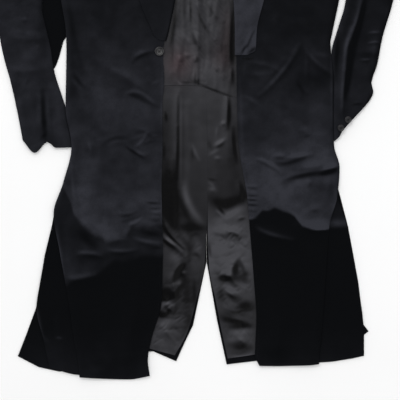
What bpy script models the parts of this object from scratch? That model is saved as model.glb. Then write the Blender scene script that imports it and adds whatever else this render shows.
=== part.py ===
"""Velvet frock coat laid flat on its back, with its fronts open over a satin lining.

Places are in millimetres from the centre back at the row of the waist button: x to the
right, y toward the collar, z up from the surface that the coat lies on. Left and right are
as seen from above, so the wearer's are the other way round.
"""

import math
from collections import namedtuple

import bmesh
import bpy

MM = 0.001

# Cloth, and the room that touching pieces keep
VELVET = 2.2
SATIN = 1.2
GAP = 0.4
SEAM_GAP = 0.9
LAPEL_GAP = 0.8

# Heights of what lies on the surface, layer by layer
BACK_TOP = VELVET
LINING_TOP = BACK_TOP + GAP + SATIN
PLEAT_TOP = BACK_TOP + GAP + VELVET
SIDE_LOW = BACK_TOP + GAP
ON_PLEAT = PLEAT_TOP + 3 * GAP
WAIST_SEAM_TOP = LINING_TOP + GAP + SATIN

# How far a turned edge reaches in before the cloth lies level
SIDE_ROLL = 13.0
SLEEVE_ROLL = 16.0
SHOULDER_ROLL = 14.0
EDGE_EASE = 55.0

# Share of a turned edge's height that is upright
UPRIGHT = 0.3

# The underarm, and how far down a sleeve its head's curve is felt
UNDERARM_Y = 180
HEAD_REACH = 90.0

# The middle of the whole coat, which becomes the origin
MIDDLE_X = -14.0
MIDDLE_Y = -133.0

# Buttons
FRONT_BUTTON = 20.0
CUFF_BUTTON = 15.0
BUTTON_INSET = 7.5

# A row of a panel: its a and b ends, and the heights of its top at a, between and at b
Row = namedtuple("Row", "ax ay bx by a_top mid_top b_top")

# A fold: start, middle and end, how high it stands and how wide it spreads
Fold = namedtuple("Fold", "x0 y0 x1 y1 x2 y2 rise width")

# An end of a panel: share of the way from a to b, how far it reaches on, and its top
End = namedtuple("End", "across reach top")

# A row of a lapel: its place on the roll edge and its width there
LapelRow = namedtuple("LapelRow", "y width")

# A row of the collar: fold line, outer edge, and the heights of fold and edge
CollarRow = namedtuple("CollarRow", "fold_x fold_y edge_x edge_y fold_top edge_top")

FRONT_LEFT_ROWS = [
    Row(-84, 418, -231, 374, 7.0, 8.2, 8.2),
    Row(-68, 352, -259, 318, 7.0, 8.4, 8.4),
    Row(-55, 266, -277, 250, 7.0, 8.6, 8.6),
    Row(-53, 214, -293, 207, 7.0, 8.6, 8.6),
    Row(-53, 190, -321, 180, 7.0, 8.6, SIDE_LOW),
    Row(-64, 114, -312, 114, 7.0, 8.8, SIDE_LOW),
    Row(-79, 42, -301, 42, 7.4, 8.8, SIDE_LOW),
    Row(-88, 2, -300, 2, 8.2, 9.0, SIDE_LOW),
    Row(-85, -62, -301, -62, 8.4, 9.0, SIDE_LOW),
    Row(-89, -118, -302, -123, 8.2, 9.0, SIDE_LOW),
    Row(-89, -212, -289, -209, 7.2, 8.6, SIDE_LOW),
    Row(-91, -290, -307, -287, 7.0, 8.6, SIDE_LOW),
    Row(-90, -352, -328, -356, 7.0, 8.6, ON_PLEAT),
    Row(-88, -431, -315, -436, 7.0, 8.6, ON_PLEAT),
    Row(-91, -548, -295, -550, 7.0, 8.4, ON_PLEAT),
    Row(-113, -631, -282, -640, 7.0, 8.2, ON_PLEAT),
    Row(-121, -678, -273, -691, 6.6, 7.8, ON_PLEAT),
    Row(-117, -711, -271, -714, 6.0, 7.6, ON_PLEAT),
]
FRONT_LEFT_HEM = [
    End(0.0, 1, 3.6),
    End(0.3, 8, 3.4),
    End(0.6, 6, 4.6),
    End(0.85, 3, 7.6),
    End(1.0, 1, 7.6),
]
FRONT_LEFT_FOLDS = [
    Fold(-229, -26, -160, -56, -97, -110, 2.6, 17),
    Fold(-167, -97, -139, -99, -92, -121, -1.6, 13),
    Fold(-240, 250, -200, 150, -205, 60, 2.4, 24),
    Fold(-306, -486, -262, -498, -212, -490, 2.2, 15),
    Fold(-272, -441, -215, -446, -160, -432, 1.8, 14),
    Fold(-250, -180, -215, -250, -235, -330, 1.6, 24),
    Fold(-150, -560, -165, -620, -150, -690, 1.6, 20),
]

FRONT_RIGHT_ROWS = [
    Row(84, 418, 231, 374, 7.0, 8.2, 8.2),
    Row(75, 352, 259, 318, 7.0, 8.4, 8.4),
    Row(64, 266, 277, 250, 7.0, 8.6, 8.6),
    Row(62, 214, 290, 207, 7.0, 8.6, 8.6),
    Row(62, 190, 310, 180, 7.0, 8.6, SIDE_LOW),
    Row(70, 114, 299, 114, 7.0, 8.8, SIDE_LOW),
    Row(73, 42, 284, 42, 7.4, 8.8, SIDE_LOW),
    Row(73, 20, 280, 20, 8.0, 9.0, SIDE_LOW),
    Row(74, -70, 288, -70, 8.4, 9.0, SIDE_LOW),
    Row(75, -128, 287, -128, 8.2, 9.0, SIDE_LOW),
    Row(78, -200, 288, -205, 7.2, 8.6, SIDE_LOW),
    Row(84, -244, 300, -253, 7.0, 8.6, SIDE_LOW),
    Row(97, -319, 295, -317, 7.0, 8.6, ON_PLEAT),
    Row(103, -392, 277, -387, 7.0, 8.6, ON_PLEAT),
    Row(112, -504, 270, -491, 7.0, 8.4, ON_PLEAT),
    Row(117, -587, 262, -601, 7.0, 8.2, ON_PLEAT),
    Row(114, -667, 256, -667, 6.6, 7.8, ON_PLEAT),
    Row(124, -690, 255, -686, 6.0, 7.6, ON_PLEAT),
]
FRONT_RIGHT_HEM = [
    End(0.0, 0, 4.8),
    End(0.4, 2, 5.0),
    End(0.8, 2, 7.6),
    End(1.0, 0, 7.6),
]
FRONT_RIGHT_FOLDS = [
    Fold(117, -92, 169, -31, 214, 18, 3.0, 15),
    Fold(218, 18, 252, -9, 276, -48, 2.6, 14),
    Fold(200, 240, 185, 150, 205, 70, 2.4, 24),
    Fold(292, -246, 257, -253, 205, -258, 3.2, 13),
    Fold(280, -272, 240, -272, 196, -284, -1.6, 13),
    Fold(146, -226, 190, -229, 236, -226, 2.0, 14),
    Fold(214, -380, 248, -392, 282, -388, 2.4, 13),
    Fold(110, -385, 142, -396, 200, -414, 2.2, 14),
    Fold(150, -560, 170, -620, 165, -670, 1.6, 22),
]

PLEAT_LEFT_ROWS = [
    Row(-262, -339, -318, -339, PLEAT_TOP, PLEAT_TOP, PLEAT_TOP),
    Row(-255, -430, -343, -430, PLEAT_TOP, PLEAT_TOP, PLEAT_TOP),
    Row(-246, -513, -359, -513, PLEAT_TOP, PLEAT_TOP, PLEAT_TOP),
    Row(-238, -563, -366, -563, PLEAT_TOP, PLEAT_TOP, PLEAT_TOP),
    Row(-236, -631, -351, -631, PLEAT_TOP, PLEAT_TOP, PLEAT_TOP),
    Row(-234, -690, -337, -695, PLEAT_TOP, PLEAT_TOP, PLEAT_TOP),
]
PLEAT_LEFT_HEM = [End(0.0, 0, PLEAT_TOP), End(0.35, 18, PLEAT_TOP), End(1.0, 0, PLEAT_TOP)]

PLEAT_RIGHT_ROWS = [
    Row(240, -325, 296, -325, PLEAT_TOP, PLEAT_TOP, PLEAT_TOP),
    Row(243, -385, 317, -385, PLEAT_TOP, PLEAT_TOP, PLEAT_TOP),
    Row(240, -504, 338, -504, PLEAT_TOP, PLEAT_TOP, PLEAT_TOP),
    Row(232, -600, 352, -603, PLEAT_TOP, PLEAT_TOP, PLEAT_TOP),
    Row(226, -680, 352, -667, PLEAT_TOP, PLEAT_TOP, PLEAT_TOP),
]
PLEAT_RIGHT_HEM = [End(0.0, 0, PLEAT_TOP), End(0.4, 5, PLEAT_TOP), End(1.0, 0, PLEAT_TOP)]

# Back outlines below the place where the skirt flares out past the front's side
BACK_LEFT_FLARE = [
    (-332, -381), (-348, -447), (-359, -513), (-367, -563), (-389, -623), (-407, -669),
]
BACK_LEFT_HEM = [(-361, -693), (-315, -703), (-205, -690), (-139, -661), (-110, -658), (-59, -680)]
BACK_LEFT_VENT = [(-38, -634), (-22, -601), (-9, -539), (7.4, -462)]
BACK_RIGHT_FLARE = [
    (319, -385), (341, -504), (353, -600), (364, -614), (354, -622), (354, -668),
]
BACK_RIGHT_HEM = [(328, -674), (284, -681), (240, -684), (119, -679), (52, -687)]
BACK_RIGHT_VENT = [(31, -590), (19, -524), (8.2, -462)]
CENTRE_SEAM = [(8, -400), (9, -200), (2, -60), (0, 150), (0, 396)]
BACK_NECK = [(0, 396), (-30, 399), (-60, 407), (-84, 418)]
FLARE_FROM_LEFT = -330
FLARE_FROM_RIGHT = -300

BODICE_ROWS = [
    Row(-72, 398, 72, 398, LINING_TOP, LINING_TOP, LINING_TOP),
    Row(-86, 350, 92, 350, LINING_TOP, LINING_TOP, LINING_TOP),
    Row(-78, 250, 86, 250, LINING_TOP, LINING_TOP, LINING_TOP),
    Row(-78, 170, 86, 170, LINING_TOP, LINING_TOP, LINING_TOP),
    Row(-96, 70, 94, 70, LINING_TOP, LINING_TOP, LINING_TOP),
    Row(-110, 0, 97, 0, LINING_TOP, LINING_TOP, LINING_TOP),
    Row(-110, -52, 98, -72, WAIST_SEAM_TOP, WAIST_SEAM_TOP, WAIST_SEAM_TOP),
    Row(-110, -75, 98, -100, WAIST_SEAM_TOP, WAIST_SEAM_TOP, WAIST_SEAM_TOP),
]
BODICE_NECK = [End(0.0, 0, 0), End(0.25, 9, 0), End(0.5, 12, 0), End(0.75, 9, 0), End(1.0, 0, 0)]
BODICE_SEAM = [
    End(0.0, 0, WAIST_SEAM_TOP),
    End(0.48, -12, WAIST_SEAM_TOP),
    End(0.8, 3, WAIST_SEAM_TOP),
    End(1.0, 0, WAIST_SEAM_TOP),
]
BODICE_FOLDS = [
    Fold(-10, 370, -12, 150, -11, -60, 2.6, 9),
    Fold(-40, 300, -36, 200, -50, 110, 1.8, 12),
    Fold(30, 280, 38, 180, 28, 80, 2.0, 12),
    Fold(-14, 110, 4, 60, 14, 5, 1.8, 9),
    Fold(20, 60, 40, 20, 46, -50, 1.6, 10),
    Fold(-52, 40, -44, 0, -60, -44, 1.6, 10),
]

SKIRT_LINING_LEFT_ROWS = [
    Row(-110, -56, 3, -56, LINING_TOP, LINING_TOP, LINING_TOP),
    Row(-110, -160, 8, -160, LINING_TOP, LINING_TOP, LINING_TOP),
    Row(-111, -330, 9, -330, LINING_TOP, LINING_TOP, LINING_TOP),
    Row(-109, -470, 3.5, -466, LINING_TOP, LINING_TOP, LINING_TOP),
    Row(-112, -548, -15, -548, LINING_TOP, LINING_TOP, LINING_TOP),
    Row(-130, -610, -35, -618, LINING_TOP, LINING_TOP, LINING_TOP),
    Row(-137, -647, -62, -667, LINING_TOP, LINING_TOP, LINING_TOP),
]
SKIRT_LINING_LEFT_FOLDS = [
    Fold(-54, -90, -55, -210, -52, -350, 2.4, 9),
    Fold(-82, -390, -62, -418, -42, -448, 3.0, 9),
    Fold(-34, -120, -26, -220, -30, -330, 1.6, 12),
    Fold(-70, -500, -55, -540, -66, -580, 2.6, 10),
    Fold(-40, -480, -36, -520, -44, -560, 2.2, 9),
    Fold(-95, -600, -80, -612, -62, -640, 2.6, 10),
]

SKIRT_LINING_RIGHT_ROWS = [
    Row(98, -80, 4.2, -68, LINING_TOP, LINING_TOP, LINING_TOP),
    Row(98, -160, 9.2, -160, LINING_TOP, LINING_TOP, LINING_TOP),
    Row(118, -330, 10.2, -330, LINING_TOP, LINING_TOP, LINING_TOP),
    Row(128, -470, 13, -470, LINING_TOP, LINING_TOP, LINING_TOP),
    Row(134, -548, 28, -548, LINING_TOP, LINING_TOP, LINING_TOP),
    Row(136, -610, 40, -610, LINING_TOP, LINING_TOP, LINING_TOP),
    Row(136, -662, 54, -674, LINING_TOP, LINING_TOP, LINING_TOP),
]
SKIRT_LINING_RIGHT_FOLDS = [
    Fold(54, -108, 52, -160, 58, -230, 2.4, 9),
    Fold(30, -200, 24, -300, 34, -380, 2.0, 11),
    Fold(18, -400, 50, -386, 84, -404, 2.8, 10),
    Fold(52, -470, 60, -510, 90, -520, 3.0, 10),
    Fold(40, -560, 62, -575, 92, -566, 2.6, 10),
    Fold(64, -620, 84, -632, 96, -646, 2.2, 9),
]

SLEEVE_LEFT_ROWS = [
    Row(-231, 374, -321, 180, SIDE_LOW, 8.4, SIDE_LOW),
    Row(-315, 334, -334, 166, SIDE_LOW, 9.0, SIDE_LOW),
    Row(-392, 251, -346, 146, SIDE_LOW, 9.0, SIDE_LOW),
    Row(-440, 160, -352, 122, SIDE_LOW, 8.6, SIDE_LOW),
    Row(-455, 96, -353, 92, SIDE_LOW, 8.4, SIDE_LOW),
    Row(-447, 35, -343, 42, SIDE_LOW, 8.4, SIDE_LOW),
    Row(-436, -18, -334, 2, SIDE_LOW, 8.4, SIDE_LOW),
    Row(-424, -60, -328, -38, SIDE_LOW, 8.4, SIDE_LOW),
    Row(-412, -112, -305, -112, SIDE_LOW, 8.2, SIDE_LOW),
    Row(-402, -162, -290, -160, SIDE_LOW, 8.0, SIDE_LOW),
    Row(-397, -190, -286, -197, SIDE_LOW, 7.6, SIDE_LOW),
]
SLEEVE_LEFT_CUFF = [
    End(0.0, 4, 7.2),
    End(0.2, 31, 7.6),
    End(0.52, 4, 6.8),
    End(0.66, 16, 7.6),
    End(1.0, 13, 7.2),
]
SLEEVE_LEFT_FOLDS = [
    Fold(-352, -90, -348, -140, -342, -200, 2.4, 11),
    Fold(-366, -100, -364, -150, -360, -196, -1.4, 9),
    Fold(-330, 290, -380, 200, -395, 120, 2.2, 20),
    Fold(-430, 40, -400, 20, -352, 30, 1.8, 13),
    Fold(-418, -40, -385, -48, -345, -36, 1.6, 12),
]
# The lower half of the left sleeve shows beside the body down to here, then turns under
UNDER_LEAVES_BODY = 33
SLEEVE_LEFT_UNDER = [(-307, 24), (-311, 8), (-316, -10), (-322, -27), (-328, -38)]

SLEEVE_RIGHT_ROWS = [
    Row(231, 374, 310, 180, SIDE_LOW, 8.4, SIDE_LOW),
    Row(315, 350, 320, 162, SIDE_LOW, 9.0, SIDE_LOW),
    Row(384, 294, 324, 148, SIDE_LOW, 9.0, SIDE_LOW),
    Row(422, 220, 322, 134, SIDE_LOW, 8.8, SIDE_LOW),
    Row(427, 160, 315, 118, SIDE_LOW, 8.6, SIDE_LOW),
    Row(416, 106, 310, 94, SIDE_LOW, 8.6, SIDE_LOW),
    Row(394, 31, 295, 46, SIDE_LOW, 8.6, SIDE_LOW),
    Row(382, -30, 282, -8, SIDE_LOW, 8.6, SIDE_LOW),
    Row(370, -67, 285, -70, SIDE_LOW, 8.4, SIDE_LOW),
    Row(374, -88, 285, -120, SIDE_LOW, 8.2, SIDE_LOW),
    Row(368, -104, 285, -160, SIDE_LOW, 8.0, SIDE_LOW),
    Row(358, -117, 285, -195, SIDE_LOW, 7.6, SIDE_LOW),
]
SLEEVE_RIGHT_CUFF = [
    End(0.0, 1, 7.2),
    End(0.35, -2, 7.4),
    End(0.72, -1, 7.6),
    End(0.84, 5, 7.6),
    End(1.0, 1, 7.2),
]
SLEEVE_RIGHT_FOLDS = [
    Fold(350, 114, 318, 30, 306, -130, 3.0, 10),
    Fold(362, 114, 338, 24, 322, -90, -1.8, 10),
    Fold(330, 310, 372, 230, 384, 140, 2.2, 20),
    Fold(396, -10, 370, 2, 340, -2, 1.6, 11),
]

LAPEL_LEFT_ROWS = [
    LapelRow(24, 9), LapelRow(34, 25), LapelRow(54, 39), LapelRow(114, 76),
    LapelRow(196, 108), LapelRow(262, 120), LapelRow(316, 122),
]
LAPEL_RIGHT_ROWS = [
    LapelRow(-8, 11), LapelRow(4, 30), LapelRow(48, 38), LapelRow(114, 64),
    LapelRow(196, 94), LapelRow(262, 106), LapelRow(316, 112),
]
# The gorge: share across the lapel and how far its edge dips below the peak's line
GORGE = [End(0.0, 0, 0), End(0.42, -17, 0), End(0.5, -17, 0), End(1.0, 0, 0)]

COLLAR_ROWS = [
    CollarRow(-66, 324, -110, 300, 12.6, 11.8),
    CollarRow(-70, 350, -126, 336, 14.0, 12.0),
    CollarRow(-77, 388, -130, 390, 16.5, 12.2),
    CollarRow(-66, 400, -104, 436, 18.0, 6.5),
    CollarRow(-34, 394, -52, 448, 18.5, 3.4),
    CollarRow(0, 390, 0, 451, 18.5, 3.2),
]
COLLAR_ROLL = 9.0


# Smooth curves through the rows of a table


def rise_and_run(values, stations):
    """The slope at each station, level where the values turn, so a curve never overshoots."""
    steps = [
        (b - a) / (t - s) for a, b, s, t in zip(values, values[1:], stations, stations[1:])
    ]
    inner = [
        2 * a * b / (a + b) if a * b > 0 else 0.0 for a, b in zip(steps, steps[1:])
    ]
    return [steps[0]] + inner + [steps[-1]]


def through(values, stations, s):
    """The smooth curve through values, read at s."""
    slopes = rise_and_run(values, stations)
    k = 0
    while k < len(stations) - 2 and s > stations[k + 1]:
        k += 1
    span = stations[k + 1] - stations[k]
    t = min(max((s - stations[k]) / span, 0.0), 1.0)
    start = (1 + 2 * t) * (1 - t) ** 2 * values[k] + t * (1 - t) ** 2 * span * slopes[k]
    end = t * t * (3 - 2 * t) * values[k + 1] - t * t * (1 - t) * span * slopes[k + 1]
    return start + end


def ease(t):
    """From 0 to 1, level at both ends."""
    t = min(max(t, 0.0), 1.0)
    return t * t * (3 - 2 * t)


def roll(t):
    """The quarter round of a turned edge, which starts upright: 0 at the edge, 1 inside."""
    if t <= 0:
        return 0.0
    t = min(t, 1.0)
    return UPRIGHT + (1 - UPRIGHT) * math.sqrt(1 - (1 - t) ** 2)


def fold_height(folds, x, y):
    """How far the folds lift or sink the cloth at a place."""
    height = 0.0
    for fold in folds:
        nearest, along = 1e9, 0.0
        for k in range(13):
            t = k / 12
            a, b, c = (1 - t) ** 2, 2 * t * (1 - t), t * t
            px = a * fold.x0 + b * fold.x1 + c * fold.x2
            py = a * fold.y0 + b * fold.y1 + c * fold.y2
            away = math.hypot(x - px, y - py)
            if away < nearest:
                nearest, along = away, t
        fade = 0.35 + 0.65 * math.sin(math.pi * along)
        height += fold.rise * fade * math.exp(-((nearest / fold.width) ** 2))
    return height


class Panel:
    """A piece of cloth between an edge a and an edge b, from its first row to its last."""

    def __init__(self, rows, folds=(), roll_a=0, roll_b=0, roll_start=0, start=(), end=(), reach=45):
        self.rows, self.folds = rows, folds
        self.roll_a, self.roll_b, self.roll_start = roll_a, roll_b, roll_start
        self.start, self.end, self.reach = start, end, reach
        self.head = None
        self.beside = None
        self.stations = [0.0]
        for r, q in zip(rows, rows[1:]):
            step_a = math.hypot(q.ax - r.ax, q.ay - r.ay)
            step_b = math.hypot(q.bx - r.bx, q.by - r.by)
            self.stations.append(self.stations[-1] + (step_a + step_b) / 2)
        self.length = self.stations[-1]
        self.columns = {
            name: [getattr(row, name) for row in rows] for name in Row._fields
        }

    def at(self, name, s):
        return through(self.columns[name], self.stations, s)

    def edge_a(self, s):
        return self.at("ax", s), self.at("ay", s)

    def edge_b(self, s):
        x, y = self.at("bx", s), self.at("by", s)
        return (self.beside(x, y), y) if self.beside else (x, y)

    def width(self, s):
        (ax, ay), (bx, by) = self.edge_a(s), self.edge_b(s)
        return math.hypot(bx - ax, by - ay)

    def station_of_a(self, y):
        """The station where edge a is at height y of the plan."""
        return self.search(y, self.edge_a)

    def station_of_b(self, y):
        return self.search(y, self.edge_b)

    def search(self, y, edge):
        low, high = 0.0, self.length
        for _ in range(30):
            middle = (low + high) / 2
            if edge(middle)[1] > y:
                low = middle
            else:
                high = middle
        return low

    def plan(self, u, s):
        """The place of the cloth at share u from a to b, at station s."""
        (ax, ay), (bx, by) = self.edge_a(s), self.edge_b(s)
        x, y = ax + (bx - ax) * u, ay + (by - ay) * u
        if self.end:
            shares = [row.across for row in self.end]
            near_end = ease(1 - (self.length - s) / self.reach)
            (cx, cy), (dx, dy) = self.heading_at_end()
            down = through([row.reach for row in self.end], shares, u) * near_end
            x, y = x + (cx + (dx - cx) * u) * down, y + (cy + (dy - cy) * u) * down
        if self.start:
            shares = [row.across for row in self.start]
            sag = through([row.reach for row in self.start], shares, u)
            y -= sag * ease(1 - s / self.reach)
        if self.head:
            near = ease(1 - s / HEAD_REACH)
            hx, hy = self.head(u)
            (ax, ay), (bx, by) = self.edge_a(0), self.edge_b(0)
            x += (hx - ax - (bx - ax) * u) * near
            y += (hy - ay - (by - ay) * u) * near
        return x, y

    def heading_at_end(self):
        """The way that both edges run as they reach the last row."""
        r, q = self.rows[-2], self.rows[-1]
        ways = []
        for dx, dy in ((q.ax - r.ax, q.ay - r.ay), (q.bx - r.bx, q.by - r.by)):
            size = math.hypot(dx, dy)
            ways.append((dx / size, dy / size))
        return ways

    def top(self, u, s):
        """The height of the cloth's upper face at a place."""
        width, mid = self.width(s), self.at("mid_top", s)
        from_a, from_b = u * width, (1 - u) * width
        rise_a = roll(from_a / self.roll_a) if self.roll_a else ease(from_a / EDGE_EASE)
        rise_b = roll(from_b / self.roll_b) if self.roll_b else ease(from_b / EDGE_EASE)
        x, y = self.plan(u, s)
        height = mid + fold_height(self.folds, x, y) * self.fold_share(rise_a, rise_b, s)
        if self.end:
            tops = [row.top for row in self.end]
            last = through(tops, [row.across for row in self.end], u)
            height += (last - height) * ease(1 - (self.length - s) / self.reach)
        level_a, level_b = self.at("a_top", s), self.at("b_top", s)
        height -= (height - level_a) * (1 - rise_a)
        height -= (height - level_b) * (1 - rise_b)
        if self.roll_start:
            height -= (height - SIDE_LOW) * (1 - roll(s / self.roll_start))
        return height

    def fold_share(self, rise_a, rise_b, s):
        """Folds fade out toward the panel's edges."""
        near_start = ease(s / 20.0)
        return rise_a * rise_b * near_start

    def point(self, u, s):
        x, y = self.plan(u, s)
        return x, y, self.top(u, s)


def spacing(length, start_steps, end_steps, count):
    """Places along a length: close together at its turned ends, even between them."""
    first, last = start_steps[-1], length - end_steps[-1]
    even = [first + (last - first) * k / count for k in range(1, count)]
    return list(start_steps) + even + [length - step for step in reversed(end_steps)]


TURNED = (0.0, 0.05, 1.6, 5.6, 12.5)
CUT = (0.0,)


def grid_points(panel, columns, rows, close_rows=0):
    """The upper face of a panel as rows of points, with close rows down to the underarm."""
    start_steps = TURNED if panel.roll_start else CUT
    if close_rows:
        underarm = panel.station_of_b(UNDERARM_Y - 12)
        stations = spacing(underarm, start_steps, CUT, close_rows)[:-1]
        left = panel.length - underarm
        stations += [underarm + left * k / rows for k in range(rows + 1)]
    else:
        stations = spacing(panel.length, start_steps, CUT, rows)
    points = []
    for s in stations:
        width = panel.width(s)
        steps_a = TURNED if panel.roll_a else CUT
        steps_b = TURNED if panel.roll_b else CUT
        line = spacing(width, steps_a, steps_b, columns)
        points.append([panel.point(place / width, s) for place in line])
    return points


# Blender objects


def clear_scene():
    for old in list(bpy.data.objects):
        bpy.data.objects.remove(old, do_unlink=True)


def new_collection(name):
    collection = bpy.data.collections.new(name)
    bpy.context.scene.collection.children.link(collection)
    return collection


def material(name, colour, roughness, sheen=0.0):
    made = bpy.data.materials.new(name)
    made.use_nodes = True
    shader = made.node_tree.nodes["Principled BSDF"]
    shader.inputs["Base Color"].default_value = (*colour, 1)
    shader.inputs["Roughness"].default_value = roughness
    shader.inputs["Sheen Weight"].default_value = sheen
    made.diffuse_color = (*colour, 1)
    return made


def place(obj, collection, origin, finish):
    collection.objects.link(obj)
    obj.parent = origin
    obj.data.materials.append(finish)
    return obj


def cloth(name, points, wall, collection, origin, finish):
    """A sheet of cloth whose upper face goes through rows of points, given its wall below."""
    mesh = bpy.data.meshes.new(name)
    sheet = bmesh.new()
    across, along = len(points[0]), len(points)
    bmesh.ops.create_grid(sheet, x_segments=across - 1, y_segments=along - 1, size=1.0)
    sheet.verts.ensure_lookup_table()
    ordered = sorted(sheet.verts, key=lambda v: (round(v.co.y, 5), round(v.co.x, 5)))
    flat = [point for line in points for point in line]
    for vertex, (x, y, z) in zip(ordered, flat):
        vertex.co = (x * MM, y * MM, z * MM)
    sheet.normal_update()
    if sum(face.normal.z for face in sheet.faces) < 0:
        bmesh.ops.reverse_faces(sheet, faces=sheet.faces)
    sheet.to_mesh(mesh)
    sheet.free()
    mesh.shade_smooth()
    obj = place(bpy.data.objects.new(name, mesh), collection, origin, finish)
    solid = obj.modifiers.new("Wall", "SOLIDIFY")
    solid.thickness = wall * MM
    solid.offset = -1
    solid.use_even_offset = True
    return obj


def flat_cloth(name, outline, low, wall, collection, origin, finish):
    """A piece of cloth that lies level, cut to an outline."""
    curve = bpy.data.curves.new(name, "CURVE")
    curve.dimensions = "2D"
    curve.fill_mode = "BOTH"
    curve.extrude = wall * MM / 2
    line = curve.splines.new("POLY")
    line.points.add(len(outline) - 1)
    for point, (x, y) in zip(line.points, outline):
        point.co = (x * MM, y * MM, 0, 1)
    line.use_cyclic_u = True
    obj = place(bpy.data.objects.new(name, curve), collection, origin, finish)
    obj.location.z = (low + wall / 2) * MM
    return obj


def button(name, x, y, seat, diameter, collection, origin, finish):
    """A domed button on a short shank, turned round its own axis."""
    radius, rim, dome, shank = diameter / 2, 2.2, 1.6, 1.4
    profile = [(0.0, shank + rim + dome)]
    for k in range(1, 5):
        turn = math.radians(90 - 90 * k / 4)
        profile.append((radius * math.cos(turn), shank + rim + dome * math.sin(turn)))
    profile += [(radius, shank + 0.8), (radius - 1.2, shank), (2.2, shank), (2.2, 0.0), (0.0, 0.0)]
    mesh = bpy.data.meshes.new(name)
    turned = bmesh.new()
    rim_line = [turned.verts.new((r * MM, 0, z * MM)) for r, z in profile]
    for a, b in zip(rim_line, rim_line[1:]):
        turned.edges.new((a, b))
    turned.to_mesh(mesh)
    turned.free()
    obj = place(bpy.data.objects.new(name, mesh), collection, origin, finish)
    screw = obj.modifiers.new("Turning", "SCREW")
    screw.steps = 16
    screw.render_steps = 16
    screw.use_merge_vertices = True
    screw.merge_threshold = 0.00005
    obj.location = (x * MM, y * MM, seat * MM)
    return obj


# The pieces of the coat


def edge_line(panel, edge, start, end, step):
    """Points along a panel's edge from one station to another."""
    count = max(1, round(abs(end - start) / step))
    return [edge(start + (end - start) * k / count) for k in range(count + 1)]


def moved_out(points, distance):
    """A line of points moved square to itself, to the left of its run for a plus distance."""
    moved = []
    for k, (x, y) in enumerate(points):
        ax, ay = points[max(k - 1, 0)]
        bx, by = points[min(k + 1, len(points) - 1)]
        size = math.hypot(bx - ax, by - ay)
        moved.append((x - (by - ay) / size * distance, y + (bx - ax) / size * distance))
    return moved


def make_front(rows, folds, hem):
    return Panel(rows, folds, roll_b=SIDE_ROLL, roll_start=SHOULDER_ROLL, end=hem)


def armhole(front, side):
    """A function for the armhole, from shoulder tip to underarm, just outside the front."""
    last = front.station_of_b(UNDERARM_Y + 0.5)
    line = edge_line(front, front.edge_b, 0, last, 10)
    line = moved_out(line, side * SEAM_GAP)
    shares = [k / (len(line) - 1) for k in range(len(line))]

    def read(u):
        return (
            through([x for x, _ in line], shares, u),
            through([y for _, y in line], shares, u),
        )

    return read


def body_side(front, side):
    """A function that keeps a sleeve's inner edge just outside the body's side."""

    def read(x, y):
        if y > UNDERARM_Y - 12:
            return x
        edge_x = front.edge_b(front.station_of_b(y))[0] + side * 2 * SEAM_GAP
        return side * max(side * x, side * edge_x)

    return read


def make_sleeve(rows, folds, cuff, front, side):
    sleeve = Panel(rows, folds, roll_a=SLEEVE_ROLL, roll_b=SLEEVE_ROLL, end=cuff, reach=60)
    sleeve.head = armhole(front, side)
    sleeve.beside = body_side(front, side)
    return sleeve


def back_outline(front, flare_from, flare, hem, vent, seam, side):
    """A back panel: neck and shoulder, armhole and side under the front, flare, hem, vent."""
    side_line = edge_line(front, front.edge_b, 0, front.station_of_b(flare_from), 10)
    neck = [(side * abs(x), y) for x, y in BACK_NECK]
    neck[0] = (side * GAP / 2, BACK_NECK[0][1])
    seam = [(x + side * GAP / 2, y) for x, y in seam]
    return neck + side_line + flare + hem + vent + seam[:-1]


def under_sleeve_outline(sleeve, inner_line, front, side):
    """The lower half of a sleeve: the top half's outline, with its own inner edge."""
    head = [sleeve.head(k / 20) for k in range(1, 21)]
    beside = []
    if inner_line:
        first, last = front.station_of_b(UNDERARM_Y - 4), front.station_of_b(UNDER_LEAVES_BODY)
        beside = moved_out(edge_line(front, front.edge_b, first, last, 15), side * SEAM_GAP)
    lowest = inner_line[-1][1] if inner_line else UNDERARM_Y - 3
    start = sleeve.station_of_b(lowest)
    inner = edge_line(sleeve, sleeve.edge_b, start, sleeve.length, 10)[1:-1]
    cuff = [sleeve.plan(1 - k / 12, sleeve.length) for k in range(13)]
    outer = edge_line(sleeve, sleeve.edge_a, sleeve.length, 0, 30)[1:]
    return head + beside + list(inner_line) + inner + cuff + outer


def lapel_points(front, rows, side):
    """A lapel turned back from the roll edge, made from the front's own upper face."""
    stations = [front.station_of_a(row.y) for row in rows]
    widths = [row.width for row in rows]
    along = list(range(len(rows)))
    shares = [row.across for row in GORGE]
    dips = [row.reach for row in GORGE]
    lift = LAPEL_GAP + VELVET
    points = []
    count = 18
    for k in range(count + 1):
        t = (len(rows) - 1) * k / count
        place_s, width = through(stations, along, t), through(widths, along, t)
        near_gorge = ease((t - (len(rows) - 2.2)) / 1.2)
        line = []
        for turn in (0.0, 0.34, 0.67):
            x, y, z = front.point(0, place_s)
            angle = math.radians(90 * turn)
            line.append((
                x - side * (lift + GAP) * math.cos(angle),
                y,
                z + lift * math.sin(angle) - (1.4 if turn == 0.0 else 0.0),
            ))
        for j in range(8):
            share = j / 7
            s = place_s - through(dips, shares, share) * near_gorge
            u = share * width / front.width(s)
            x, y, z = front.point(u, s)
            line.append((x, y, z + lift))
        points.append(line)
    return points


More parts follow.
